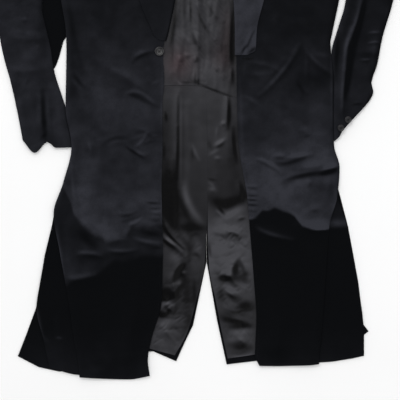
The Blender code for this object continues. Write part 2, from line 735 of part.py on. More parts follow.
def collar_points():
    """The collar: it stands from the neck seam, folds over and falls outward."""
    rows = COLLAR_ROWS + [
        row._replace(fold_x=-row.fold_x, edge_x=-row.edge_x) for row in reversed(COLLAR_ROWS[:-1])
    ]
    along = list(range(len(rows)))
    columns = {name: [getattr(row, name) for row in rows] for name in CollarRow._fields}
    stand_low = [10.8, 9.0, SIDE_LOW + 6.2, LINING_TOP + GAP, SIDE_LOW, SIDE_LOW]
    stand_low += list(reversed(stand_low[:-1]))
    points = []
    count = 30
    for k in range(count + 1):
        t = (len(rows) - 1) * k / count
        row = {name: through(values, along, t) for name, values in columns.items()}
        low = through(stand_low, along, t)
        dx, dy = row["edge_x"] - row["fold_x"], row["edge_y"] - row["fold_y"]
        width = math.hypot(dx, dy)
        line = []
        for place_across in spacing(width, (0.0, 0.05, 1.2, 3.6, COLLAR_ROLL), CUT, 4):
            share = place_across / width
            fall = row["fold_top"] + (row["edge_top"] - row["fold_top"]) * ease(share)
            height = low + (fall - low) * roll(place_across / COLLAR_ROLL)
            line.append((row["fold_x"] + dx * share, row["fold_y"] + dy * share, height))
        points.append(line)
    return points


def main():
    clear_scene()
    coat = new_collection("velvet_frock_coat")
    origin = bpy.data.objects.new("centre_back_waist", None)
    coat.objects.link(origin)
    origin.location = (-MIDDLE_X * MM, -MIDDLE_Y * MM, 0)

    velvet = material("black_velvet", (0.008, 0.009, 0.011), 0.9, 0.4)
    satin = material("black_satin", (0.02, 0.02, 0.022), 0.35)
    glossy = material("black_button", (0.01, 0.01, 0.012), 0.25)
    velvet_in = (VELVET, coat, origin, velvet)
    satin_in = (SATIN, coat, origin, satin)

    front_left = make_front(FRONT_LEFT_ROWS, FRONT_LEFT_FOLDS, FRONT_LEFT_HEM)
    front_right = make_front(FRONT_RIGHT_ROWS, FRONT_RIGHT_FOLDS, FRONT_RIGHT_HEM)
    cloth("front_left", grid_points(front_left, 8, 26, 15), *velvet_in)
    cloth("front_right", grid_points(front_right, 8, 26, 15), *velvet_in)

    left_back = back_outline(
        front_left, FLARE_FROM_LEFT, BACK_LEFT_FLARE, BACK_LEFT_HEM, BACK_LEFT_VENT, CENTRE_SEAM, -1
    )
    right_back = back_outline(
        front_right, FLARE_FROM_RIGHT, BACK_RIGHT_FLARE, BACK_RIGHT_HEM, BACK_RIGHT_VENT,
        CENTRE_SEAM, 1,
    )
    flat_cloth("back_left", left_back, 0, *velvet_in)
    flat_cloth("back_right", right_back, 0, *velvet_in)

    pleat_left = Panel(PLEAT_LEFT_ROWS, end=PLEAT_LEFT_HEM)
    pleat_right = Panel(PLEAT_RIGHT_ROWS, end=PLEAT_RIGHT_HEM)
    cloth("pleat_left", grid_points(pleat_left, 4, 14), *velvet_in)
    cloth("pleat_right", grid_points(pleat_right, 4, 14), *velvet_in)

    bodice = Panel(BODICE_ROWS, BODICE_FOLDS, start=BODICE_NECK, end=BODICE_SEAM, reach=30)
    lining_left = Panel(SKIRT_LINING_LEFT_ROWS, SKIRT_LINING_LEFT_FOLDS)
    lining_right = Panel(SKIRT_LINING_RIGHT_ROWS, SKIRT_LINING_RIGHT_FOLDS)
    cloth("lining_bodice", grid_points(bodice, 12, 22), *satin_in)
    cloth("lining_skirt_left", grid_points(lining_left, 8, 26), *satin_in)
    cloth("lining_skirt_right", grid_points(lining_right, 8, 26), *satin_in)

    sleeve_left = make_sleeve(
        SLEEVE_LEFT_ROWS, SLEEVE_LEFT_FOLDS, SLEEVE_LEFT_CUFF, front_left, -1
    )
    sleeve_right = make_sleeve(
        SLEEVE_RIGHT_ROWS, SLEEVE_RIGHT_FOLDS, SLEEVE_RIGHT_CUFF, front_right, 1
    )
    cloth("sleeve_left_top", grid_points(sleeve_left, 8, 20), *velvet_in)
    cloth("sleeve_right_top", grid_points(sleeve_right, 8, 20), *velvet_in)
    under_left = under_sleeve_outline(sleeve_left, SLEEVE_LEFT_UNDER, front_left, -1)
    under_right = under_sleeve_outline(sleeve_right, [], front_right, 1)
    flat_cloth("sleeve_left_under", under_left, 0, *velvet_in)
    flat_cloth("sleeve_right_under", under_right, 0, *velvet_in)

    cloth("lapel_left", lapel_points(front_left, LAPEL_LEFT_ROWS, -1), *velvet_in)
    cloth("lapel_right", lapel_points(front_right, LAPEL_RIGHT_ROWS, 1), *velvet_in)
    cloth("collar", collar_points(), *velvet_in)

    s = front_left.station_of_a(0)
    x, y, z = front_left.point(BUTTON_INSET / front_left.width(s), s)
    button("front_button", x, y, z + GAP, FRONT_BUTTON, coat, origin, glossy)
    for number, (u, back_up) in enumerate(((0.62, 14.0), (0.82, 14.0)), 1):
        x, y, z = sleeve_right.point(u, sleeve_right.length - back_up)
        button(f"cuff_button_{number}", x, y, z + GAP, CUFF_BUTTON, coat, origin, glossy)


if __name__ == "__main__":
    main()
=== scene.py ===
"""Velvet frock coat laid flat: its cloth, sewing, buttons and studio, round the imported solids.

Places are in millimetres from the centre back at the row of the waist button: x to the
right, y toward the collar, z up from the surface that the coat lies on. Left and right are
as seen from above, so the wearer's are the other way round.
"""

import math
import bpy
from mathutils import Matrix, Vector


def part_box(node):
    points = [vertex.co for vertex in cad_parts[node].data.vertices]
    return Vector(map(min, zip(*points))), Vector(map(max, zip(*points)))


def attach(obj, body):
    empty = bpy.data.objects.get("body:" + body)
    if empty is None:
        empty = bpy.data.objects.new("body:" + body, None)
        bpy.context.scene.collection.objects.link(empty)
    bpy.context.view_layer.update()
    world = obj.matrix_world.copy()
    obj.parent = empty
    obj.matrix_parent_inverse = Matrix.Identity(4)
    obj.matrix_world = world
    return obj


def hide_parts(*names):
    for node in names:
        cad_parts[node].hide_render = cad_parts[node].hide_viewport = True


bl_info = {
    "name": "Velvet frock coat laid flat",
    "version": (1, 0, 0),
    "blender": (4, 5, 0),
    "location": "View3D > Sidebar > Frock coat",
    "description": "Brushed velvet, creased satin lining, sewing and buttons of a coat laid flat",
    "category": "Object",
}

from collections import namedtuple

import bmesh
import bpy
import numpy as np
from mathutils import Vector

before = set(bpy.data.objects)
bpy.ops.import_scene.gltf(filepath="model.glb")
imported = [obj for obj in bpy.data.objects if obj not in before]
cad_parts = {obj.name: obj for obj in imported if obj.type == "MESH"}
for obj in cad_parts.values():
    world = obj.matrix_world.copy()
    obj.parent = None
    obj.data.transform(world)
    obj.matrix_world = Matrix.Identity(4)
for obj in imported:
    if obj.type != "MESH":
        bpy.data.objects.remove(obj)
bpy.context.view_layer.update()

MM = 0.001

# Heights of what lies on the surface, layer by layer
VELVET = 2.2
SATIN = 1.2
GAP = 0.4
SEAM_GAP = 0.9
CLOTH_GAP = 0.15
LAPEL_GAP = 0.8
BACK_TOP = VELVET
LINING_TOP = BACK_TOP + GAP + SATIN
PLEAT_TOP = BACK_TOP + GAP + VELVET
SIDE_LOW = BACK_TOP + GAP
ON_PLEAT = PLEAT_TOP + 3 * GAP
WAIST_SEAM_TOP = LINING_TOP + GAP + SATIN

# How far a turned edge reaches in before the cloth lies level
SIDE_ROLL = 13.0
SLEEVE_ROLL = 16.0
SHOULDER_ROLL = 14.0
COLLAR_ROLL = 9.0
EDGE_EASE = 55.0
FOLD_EASE = 10.0
UPRIGHT = 0.3

UNDERARM_Y = 180
HEAD_REACH = 90.0
MIDDLE_X = -14.0
MIDDLE_Y = -133.0

# The camera looks straight down from standing height with a short telephoto lens
CAMERA_X = -6.6
CAMERA_Y = -325.6
CAMERA_HEIGHT = 2.6
VIEW_WIDTH = 0.88
SENSOR = 36.0

# A row of a panel: its a and b ends, and the heights of its top at a, between and at b
Row = namedtuple("Row", "ax ay bx by a_top mid_top b_top")

# A fold: start, the point that it bends toward, end, its height and its width
Fold = namedtuple("Fold", "x0 y0 x1 y1 x2 y2 rise width")

# A crease, which shows as a streak: its line as a fold's, then its tone and its width.
# Its tone is a painted highlight where the cloth turns toward the light, and painted shade, a minus tone, where
# away.
Crease = namedtuple("Crease", "x0 y0 x1 y1 x2 y2 tone width")

# An end of a panel: share of the way from a to b, how far it reaches on, and its top
End = namedtuple("End", "across reach top")

# A row of a lapel: its place on the roll edge and its width there
LapelRow = namedtuple("LapelRow", "y width")

# A row of the collar: fold line, outer edge, and the heights of fold and edge
CollarRow = namedtuple("CollarRow", "fold_x fold_y edge_x edge_y fold_top edge_top")

# A patch of tone: on velvet, where the nap is brushed up, or smoothed down for a minus tone; on the satin
# lining, painted shade for a minus tone and a painted highlight for a plus one
Patch = namedtuple("Patch", "x y reach_x reach_y tone")

# A line across a piece below which its tones change: how sharply, and its tones from there on
Step = namedtuple("Step", "edge fade down")

# How the nap or the satin's painted shine lies: tones down the length, steps, patches, creases,
# how much the folds' slopes paint highlights and shade, and how mottled it is
Nap = namedtuple("Nap", "down steps patches creases relief mottle")

FRONT_LEFT_ROWS = [
    Row(-84, 418, -231, 374, 7.0, 8.2, 8.2),
    Row(-68, 352, -259, 318, 7.0, 8.4, 8.4),
    Row(-55, 266, -277, 250, 7.0, 8.6, 8.6),
    Row(-53, 214, -293, 207, 7.0, 8.6, 8.6),
    Row(-53, 190, -321, 180, 7.0, 8.6, SIDE_LOW),
    Row(-64, 114, -312, 114, 7.0, 8.8, SIDE_LOW),
    Row(-79, 42, -301, 42, 7.4, 8.8, SIDE_LOW),
    Row(-88, 2, -300, 2, 8.2, 9.0, SIDE_LOW),
    Row(-85, -62, -301, -62, 8.4, 9.0, SIDE_LOW),
    Row(-89, -118, -302, -123, 8.2, 9.0, SIDE_LOW),
    Row(-89, -212, -289, -209, 7.2, 8.6, SIDE_LOW),
    Row(-91, -290, -307, -287, 7.0, 8.6, SIDE_LOW),
    Row(-90, -352, -328, -356, 7.0, 8.6, ON_PLEAT),
    Row(-88, -431, -315, -436, 7.0, 8.6, ON_PLEAT),
    Row(-91, -548, -295, -550, 7.0, 8.4, ON_PLEAT),
    Row(-113, -631, -282, -640, 7.0, 8.2, ON_PLEAT),
    Row(-121, -678, -273, -691, 6.6, 7.8, ON_PLEAT),
    Row(-117, -711, -271, -714, 6.0, 7.6, ON_PLEAT),
]
FRONT_LEFT_HEM = [
    End(0.0, 1, 3.6),
    End(0.3, 8, 3.4),
    End(0.6, 6, 4.6),
    End(0.85, 3, 7.6),
    End(1.0, 1, 7.6),
]
FRONT_LEFT_FOLDS = [
    Fold(-229, -26, -160, -56, -97, -110, 2.6, 17),
    Fold(-167, -97, -139, -99, -92, -121, -1.6, 13),
    Fold(-240, 250, -200, 150, -205, 60, 2.4, 24),
    Fold(-306, -486, -262, -498, -212, -490, 2.2, 15),
    Fold(-272, -441, -215, -446, -160, -432, 1.8, 14),
    Fold(-250, -180, -215, -250, -235, -330, 1.6, 24),
    Fold(-150, -560, -165, -620, -150, -690, 1.6, 20),
]

FRONT_RIGHT_ROWS = [
    Row(84, 418, 231, 374, 7.0, 8.2, 8.2),
    Row(75, 352, 259, 318, 7.0, 8.4, 8.4),
    Row(64, 266, 277, 250, 7.0, 8.6, 8.6),
    Row(62, 214, 290, 207, 7.0, 8.6, 8.6),
    Row(62, 190, 310, 180, 7.0, 8.6, SIDE_LOW),
    Row(70, 114, 299, 114, 7.0, 8.8, SIDE_LOW),
    Row(73, 42, 284, 42, 7.4, 8.8, SIDE_LOW),
    Row(73, 20, 280, 20, 8.0, 9.0, SIDE_LOW),
    Row(74, -70, 288, -70, 8.4, 9.0, SIDE_LOW),
    Row(75, -128, 287, -128, 8.2, 9.0, SIDE_LOW),
    Row(78, -200, 288, -205, 7.2, 8.6, SIDE_LOW),
    Row(84, -244, 300, -253, 7.0, 8.6, SIDE_LOW),
    Row(97, -319, 295, -317, 7.0, 8.6, ON_PLEAT),
    Row(103, -392, 277, -387, 7.0, 8.6, ON_PLEAT),
    Row(112, -504, 270, -491, 7.0, 8.4, ON_PLEAT),
    Row(117, -587, 262, -601, 7.0, 8.2, ON_PLEAT),
    Row(114, -667, 256, -667, 6.6, 7.8, ON_PLEAT),
    Row(124, -690, 255, -686, 6.0, 7.6, ON_PLEAT),
]
FRONT_RIGHT_HEM = [
    End(0.0, 0, 4.8),
    End(0.4, 2, 5.0),
    End(0.8, 2, 7.6),
    End(1.0, 0, 7.6),
]
FRONT_RIGHT_FOLDS = [
    Fold(117, -92, 169, -31, 214, 18, 2.0, 13),
    Fold(218, 18, 252, -9, 276, -48, 2.6, 14),
    Fold(200, 240, 185, 150, 205, 70, 2.4, 24),
    Fold(292, -246, 257, -253, 205, -258, 3.2, 13),
    Fold(280, -272, 240, -272, 196, -284, -1.6, 13),
    Fold(146, -226, 190, -229, 236, -226, 2.0, 14),
    Fold(214, -380, 248, -392, 282, -388, 2.4, 13),
    Fold(110, -385, 142, -396, 200, -414, 2.2, 14),
    Fold(150, -560, 170, -620, 165, -670, 1.6, 22),
]

PLEAT_LEFT_ROWS = [
    Row(-262, -339, -318, -339, PLEAT_TOP, PLEAT_TOP, PLEAT_TOP),
    Row(-255, -430, -343, -430, PLEAT_TOP, PLEAT_TOP, PLEAT_TOP),
    Row(-246, -513, -359, -513, PLEAT_TOP, PLEAT_TOP, PLEAT_TOP),
    Row(-238, -563, -366, -563, PLEAT_TOP, PLEAT_TOP, PLEAT_TOP),
    Row(-236, -631, -351, -631, PLEAT_TOP, PLEAT_TOP, PLEAT_TOP),
    Row(-234, -690, -337, -695, PLEAT_TOP, PLEAT_TOP, PLEAT_TOP),
]
PLEAT_LEFT_HEM = [End(0.0, 0, PLEAT_TOP), End(0.35, 18, PLEAT_TOP), End(1.0, 0, PLEAT_TOP)]

PLEAT_RIGHT_ROWS = [
    Row(240, -325, 296, -325, PLEAT_TOP, PLEAT_TOP, PLEAT_TOP),
    Row(243, -385, 317, -385, PLEAT_TOP, PLEAT_TOP, PLEAT_TOP),
    Row(240, -504, 338, -504, PLEAT_TOP, PLEAT_TOP, PLEAT_TOP),
    Row(232, -600, 352, -603, PLEAT_TOP, PLEAT_TOP, PLEAT_TOP),
    Row(226, -680, 352, -667, PLEAT_TOP, PLEAT_TOP, PLEAT_TOP),
]
PLEAT_RIGHT_HEM = [End(0.0, 0, PLEAT_TOP), End(0.4, 5, PLEAT_TOP), End(1.0, 0, PLEAT_TOP)]

# Back outlines below the place where the skirt flares out past the front's side
BACK_LEFT_FLARE = [
    (-332, -381), (-348, -447), (-359, -513), (-367, -563), (-389, -623), (-407, -669),
]
BACK_LEFT_HEM = [(-361, -693), (-315, -703), (-205, -690), (-139, -661), (-110, -658), (-59, -680)]
BACK_LEFT_VENT = [(-38, -634), (-22, -601), (-9, -539), (7.4, -462)]
BACK_RIGHT_FLARE = [
    (319, -385), (341, -504), (353, -600), (364, -614), (354, -622), (354, -668),
]
BACK_RIGHT_HEM = [(328, -674), (284, -681), (240, -684), (119, -679), (52, -687)]
BACK_RIGHT_VENT = [(31, -590), (19, -524), (8.2, -462)]
CENTRE_SEAM = [(8, -400), (9, -200), (2, -60), (0, 150), (0, 396)]
BACK_NECK = [(0, 396), (-30, 399), (-60, 407), (-84, 418)]
FLARE_FROM_LEFT = -330
FLARE_FROM_RIGHT = -300

BODICE_ROWS = [
    Row(-72, 398, 72, 398, LINING_TOP, LINING_TOP, LINING_TOP),
    Row(-86, 350, 92, 350, LINING_TOP, LINING_TOP, LINING_TOP),
    Row(-78, 250, 86, 250, LINING_TOP, LINING_TOP, LINING_TOP),
    Row(-78, 170, 86, 170, LINING_TOP, LINING_TOP, LINING_TOP),
    Row(-96, 70, 94, 70, LINING_TOP, LINING_TOP, LINING_TOP),
    Row(-110, 0, 97, 0, LINING_TOP, LINING_TOP, LINING_TOP),
    Row(-110, -52, 98, -72, WAIST_SEAM_TOP, WAIST_SEAM_TOP, WAIST_SEAM_TOP),
    Row(-110, -75, 98, -100, WAIST_SEAM_TOP, WAIST_SEAM_TOP, WAIST_SEAM_TOP),
]
BODICE_NECK = [End(0.0, 0, 0), End(0.25, 9, 0), End(0.5, 12, 0), End(0.75, 9, 0), End(1.0, 0, 0)]
BODICE_SEAM = [
    End(0.0, 0, WAIST_SEAM_TOP),
    End(0.48, -12, WAIST_SEAM_TOP),
    End(0.8, 3, WAIST_SEAM_TOP),
    End(1.0, 0, WAIST_SEAM_TOP),
]
BODICE_FOLDS = [
    Fold(-10, 370, -12, 150, -11, -60, 2.6, 9),
    Fold(-40, 300, -36, 200, -50, 110, 1.8, 12),
    Fold(30, 280, 38, 180, 28, 80, 2.0, 12),
    Fold(-14, 110, 4, 60, 14, 5, 1.8, 9),
    Fold(20, 60, 40, 20, 46, -50, 1.6, 10),
    Fold(-52, 40, -44, 0, -60, -44, 1.6, 10),
]

SKIRT_LINING_LEFT_ROWS = [
    Row(-110, -56, 3, -56, LINING_TOP, LINING_TOP, LINING_TOP),
    Row(-110, -160, 8, -160, LINING_TOP, LINING_TOP, LINING_TOP),
    Row(-111, -330, 9, -330, LINING_TOP, LINING_TOP, LINING_TOP),
    Row(-109, -470, 3.5, -466, LINING_TOP, LINING_TOP, LINING_TOP),
    Row(-112, -548, -15, -548, LINING_TOP, LINING_TOP, LINING_TOP),
    Row(-130, -610, -35, -618, LINING_TOP, LINING_TOP, LINING_TOP),
    Row(-137, -647, -62, -667, LINING_TOP, LINING_TOP, LINING_TOP),
]
SKIRT_LINING_LEFT_FOLDS = [
    Fold(-54, -90, -55, -210, -52, -350, 2.4, 9),
    Fold(-82, -390, -62, -418, -42, -448, 3.0, 9),
    Fold(-34, -120, -26, -220, -30, -330, 1.6, 12),
    Fold(-70, -500, -55, -540, -66, -580, 2.6, 10),
    Fold(-40, -480, -36, -520, -44, -560, 2.2, 9),
    Fold(-95, -600, -80, -612, -62, -640, 2.6, 10),
    Fold(-44, -470, -50, -490, -56, -512, -1.6, 9),
    Fold(-92, -528, -76, -536, -60, -530, -1.6, 9),
]

SKIRT_LINING_RIGHT_ROWS = [
    Row(98, -80, 4.2, -68, LINING_TOP, LINING_TOP, LINING_TOP),
    Row(98, -160, 9.2, -160, LINING_TOP, LINING_TOP, LINING_TOP),
    Row(118, -330, 10.2, -330, LINING_TOP, LINING_TOP, LINING_TOP),
    Row(128, -470, 13, -470, LINING_TOP, LINING_TOP, LINING_TOP),
    Row(134, -548, 28, -548, LINING_TOP, LINING_TOP, LINING_TOP),
    Row(136, -610, 40, -610, LINING_TOP, LINING_TOP, LINING_TOP),
    Row(136, -662, 54, -674, LINING_TOP, LINING_TOP, LINING_TOP),
]
SKIRT_LINING_RIGHT_FOLDS = [
    Fold(54, -108, 52, -160, 58, -230, 2.4, 9),
    Fold(30, -200, 24, -300, 34, -380, 2.0, 11),
    Fold(18, -400, 50, -386, 84, -404, 2.8, 10),
    Fold(52, -470, 60, -510, 90, -520, 3.0, 10),
    Fold(40, -560, 62, -575, 92, -566, 2.6, 10),
    Fold(64, -620, 84, -632, 96, -646, 2.2, 9),
    Fold(36, -498, 50, -502, 62, -498, -1.6, 8),
    Fold(64, -606, 82, -604, 104, -606, -1.6, 8),
]

SLEEVE_LEFT_ROWS = [
    Row(-231, 374, -321, 180, SIDE_LOW, 8.4, SIDE_LOW),
    Row(-315, 334, -334, 166, SIDE_LOW, 9.0, SIDE_LOW),
    Row(-392, 251, -346, 146, SIDE_LOW, 9.0, SIDE_LOW),
    Row(-440, 160, -352, 122, SIDE_LOW, 8.6, SIDE_LOW),
    Row(-455, 96, -353, 92, SIDE_LOW, 8.4, SIDE_LOW),
    Row(-447, 35, -343, 42, SIDE_LOW, 8.4, SIDE_LOW),
    Row(-436, -18, -334, 2, SIDE_LOW, 8.4, SIDE_LOW),
    Row(-424, -60, -328, -38, SIDE_LOW, 8.4, SIDE_LOW),
    Row(-412, -112, -305, -112, SIDE_LOW, 8.2, SIDE_LOW),
    Row(-402, -162, -290, -160, SIDE_LOW, 8.0, SIDE_LOW),
    Row(-397, -190, -286, -197, SIDE_LOW, 7.6, SIDE_LOW),
]
SLEEVE_LEFT_CUFF = [
    End(0.0, 4, 7.2),
    End(0.2, 31, 7.6),
    End(0.52, 4, 6.8),
    End(0.66, 16, 7.6),
    End(1.0, 13, 7.2),
]
SLEEVE_LEFT_FOLDS = [
    Fold(-352, -90, -348, -140, -342, -200, 2.4, 11),
    Fold(-366, -100, -364, -150, -360, -196, -1.4, 9),
    Fold(-330, 290, -380, 200, -395, 120, 2.2, 20),
    Fold(-430, 40, -400, 20, -352, 30, 1.8, 13),
    Fold(-418, -40, -385, -48, -345, -36, 1.6, 12),
]
# The lower half of the left sleeve shows beside the body down to here, then turns under
UNDER_LEAVES_BODY = 33
SLEEVE_LEFT_UNDER = [(-307, 24), (-311, 8), (-316, -10), (-322, -27), (-328, -38)]

SLEEVE_RIGHT_ROWS = [
    Row(231, 374, 310, 180, SIDE_LOW, 8.4, SIDE_LOW),
    Row(315, 350, 320, 162, SIDE_LOW, 9.0, SIDE_LOW),
    Row(384, 294, 324, 148, SIDE_LOW, 9.0, SIDE_LOW),
    Row(422, 220, 322, 134, SIDE_LOW, 8.8, SIDE_LOW),
    Row(427, 160, 315, 118, SIDE_LOW, 8.6, SIDE_LOW),
    Row(416, 106, 310, 94, SIDE_LOW, 8.6, SIDE_LOW),
    Row(394, 31, 295, 46, SIDE_LOW, 8.6, SIDE_LOW),
    Row(382, -30, 282, -8, SIDE_LOW, 8.6, SIDE_LOW),
    Row(370, -67, 285, -70, SIDE_LOW, 8.4, SIDE_LOW),
    Row(374, -88, 285, -120, SIDE_LOW, 8.2, SIDE_LOW),
    Row(368, -104, 285, -160, SIDE_LOW, 8.0, SIDE_LOW),
    Row(358, -117, 285, -195, SIDE_LOW, 7.6, SIDE_LOW),
]
SLEEVE_RIGHT_CUFF = [
    End(0.0, 1, 7.2),
    End(0.35, -2, 7.4),
    End(0.72, -1, 7.6),
    End(0.84, 5, 7.6),
    End(1.0, 1, 7.2),
]
SLEEVE_RIGHT_FOLDS = [
    Fold(350, 114, 318, 30, 306, -130, 3.0, 10),
    Fold(362, 114, 338, 24, 322, -90, -1.8, 10),
    Fold(330, 310, 372, 230, 384, 140, 2.2, 20),
    Fold(396, -10, 370, 2, 340, -2, 1.6, 11),
]

LAPEL_LEFT_ROWS = [
    LapelRow(24, 9), LapelRow(34, 25), LapelRow(54, 39), LapelRow(114, 76),
    LapelRow(196, 108), LapelRow(262, 120), LapelRow(316, 122),
]
LAPEL_RIGHT_ROWS = [
    LapelRow(-8, 24), LapelRow(4, 42), LapelRow(48, 45), LapelRow(114, 64),
    LapelRow(196, 94), LapelRow(262, 106), LapelRow(316, 112),
]
# The gorge: share across the lapel and how far its edge dips below the peak's line
GORGE = [End(0.0, 0, 0), End(0.42, -17, 0), End(0.5, -17, 0), End(1.0, 0, 0)]

COLLAR_ROWS = [
    CollarRow(-66, 324, -110, 300, 12.6, 11.8),
    CollarRow(-70, 350, -126, 336, 14.0, 12.0),
    CollarRow(-77, 388, -130, 390, 16.5, 12.2),
    CollarRow(-66, 400, -104, 436, 18.0, 6.5),
    CollarRow(-34, 394, -52, 448, 18.5, 3.4),
    CollarRow(0, 390, 0, 451, 18.5, 3.2),
]
COLLAR_STAND_LOW = [10.8, 9.0, SIDE_LOW + 6.2, LINING_TOP + GAP, SIDE_LOW, SIDE_LOW]



def creases(rows):
    return [Crease(*row) for row in rows]


# The main creases that show in the photo, and a few like them past its top edge
FRONT_LEFT_CREASES = creases([
    # From the waist button, and at the side of the waist
    (-105, -2, -135, -3, -155, -25, -0.2, 3.5),
    (-110, 5, -140, 0, -155, -10, 0.15, 5),
    (-112, -70, -102, -66, -92, -60, 0.2, 4),
    (-88, 6, -90, -80, -92, -170, 0.16, 3),
    (-225, -30, -170, -50, -135, -75, 0.12, 8),
    (-165, -90, -140, -76, -105, -115, 0.3, 4.5),
    (-160, -95, -130, -108, -92, -124, -0.22, 4.5),
    (-284, -48, -275, -65, -258, -82, -0.2, 4.5),
    (-288, -58, -280, -70, -270, -80, 0.12, 4),
    # Across the hip
    (-218, -203, -195, -185, -168, -190, -0.16, 4),
    (-205, -203, -190, -192, -165, -198, 0.12, 4),
    (-252, -198, -248, -206, -246, -220, 0.2, 3.5),
    (-168, -210, -150, -222, -130, -234, -0.4, 3),
    (-148, -218, -138, -228, -120, -222, 0.15, 4),
    (-150, -208, -130, -196, -125, -178, 0.24, 3.5),
    (-146, -176, -128, -172, -108, -192, -0.16, 4),
    (-158, -190, -136, -186, -112, -172, 0.14, 4),
    (-114, -184, -106, -184, -98, -183, 0.2, 3),
    (-130, -206, -118, -196, -100, -197, -0.15, 3),
    (-293, -240, -285, -290, -281, -350, 0.2, 4),
    (-122, -331, -110, -333, -95, -333, -0.5, 2.5),
    (-108, -326, -100, -326, -94, -326, 0.16, 2.5),
    (-116, -344, -104, -345, -92, -344, -0.35, 2.5),
    (-110, -357, -102, -358, -92, -357, -0.3, 3),
    (-112, -350, -102, -351, -92, -350, 0.16, 3),
    (-114, -370, -102, -371, -92, -370, -0.35, 5),
    (-184, -360, -165, -364, -146, -354, -0.25, 4),
    (-180, -374, -165, -372, -140, -362, -0.2, 4),
    (-162, -378, -150, -376, -135, -364, 0.3, 3),
    (-108, -386, -100, -388, -92, -392, 0.12, 3),
    # Below the brushed part, and the painted highlight along the side's edge
    (-322, -385, -318, -440, -306, -486, 0.5, 4),
    (-300, -380, -298, -440, -298, -500, 0.1, 9),
    (-265, -395, -255, -420, -230, -430, -0.2, 9),
    (-272, -441, -250, -438, -224, -445, 0.36, 4.5),
    (-212, -418, -190, -407, -168, -409, 0.2, 5),
    (-206, -433, -178, -440, -148, -432, 0.3, 4),
    (-148, -409, -120, -419, -88, -419, 0.36, 4.5),
    (-134, -394, -112, -402, -92, -402, -0.25, 6),
    (-112, -430, -102, -431, -90, -430, -0.2, 3),
    (-304, -490, -280, -500, -240, -487, 0.3, 6),
    # The chest
    (-250, 95, -252, 60, -235, 30, 0.08, 9),
    (-296, 112, -286, 55, -280, 10, -0.12, 6),
    (-276, 20, -272, -20, -258, -58, -0.1, 6),
    (-118, 97, -116, 91, -114, 85, 0.12, 3),
    (-250, 240, -225, 210, -215, 170, 0.1, 8),
    (-150, 300, -180, 260, -190, 210, 0.08, 9),
])
FRONT_RIGHT_CREASES = creases([
    # The tent of folds between chest and waist
    (210, 18, 180, -45, 120, -95, 0.3, 5),
    (222, 12, 245, -25, 280, -44, 0.22, 5),
    (98, -22, 130, -20, 166, -38, 0.16, 5),
    (96, -46, 120, -50, 150, -44, 0.12, 5),
    (224, 4, 226, -30, 224, -60, 0.1, 4),
    (240, -4, 260, -6, 280, -9, 0.1, 5),
    (207, -65, 212, -80, 222, -92, -0.16, 4),
    (85, -98, 100, -98, 120, -113, 0.18, 4),
    (80, -50, 83, -150, 87, -240, 0.16, 4),
    (92, -22, 91, -40, 88, -55, 0.1, 3),
    (281, 24, 283, -70, 282, -165, 0.4, 3),
    # Across the hip
    (210, -165, 220, -170, 232, -170, 0.18, 7),
    (220, -187, 228, -186, 236, -183, -0.14, 3),
    (152, -230, 165, -223, 182, -229, 0.22, 4),
    (182, -232, 205, -228, 237, -223, 0.4, 4),
    (162, -246, 186, -250, 222, -234, -0.3, 4),
    (118, -233, 140, -238, 166, -256, 0.26, 3),
    (118, -241, 140, -248, 172, -271, -0.16, 3.5),
    (255, -258, 272, -255, 294, -249, 0.4, 5),
    (262, -268, 277, -263, 297, -257, -0.65, 5),
    (180, -285, 208, -272, 258, -267, -0.35, 5),
    (238, -282, 238, -290, 234, -298, -0.2, 6),
    (282, -280, 282, -300, 280, -322, -0.16, 6),
    (298, -318, 290, -336, 282, -356, 0.45, 3),
    (236, -352, 243, -350, 254, -351, -0.2, 5),
    # Round the line where the brushing ends
    (183, -344, 205, -355, 220, -376, 0.12, 4),
    (222, -374, 250, -396, 318, -379, 0.3, 5),
    (225, -392, 255, -402, 316, -388, -0.6, 3.5),
    (118, -385, 140, -402, 196, -411, 0.4, 5),
    # The chest
    (205, 72, 215, 70, 225, 66, 0.06, 9),
    (158, 88, 158, 74, 157, 60, 0.06, 8),
    (240, 240, 225, 200, 232, 150, 0.1, 8),
    (150, 290, 170, 240, 160, 190, 0.08, 9),
])
# Small tucks pressed across the right front's edge: how far down each lies, and its tone, a painted highlight
# or painted shade
EDGE_TUCKS = [
    (-292, 0.2), (-299, -0.4), (-307, 0.25), (-316, -0.5), (-320, 0.25), (-325, -0.6),
    (-330, 0.25), (-336, -0.6), (-342, 0.2), (-350, -0.3), (-364, 0.3), (-371, -0.4),
]
FRONT_RIGHT_CREASES += [Crease(97, y, 107, y - 1, 118, y - 1, tone, 2.5) for y, tone in EDGE_TUCKS]

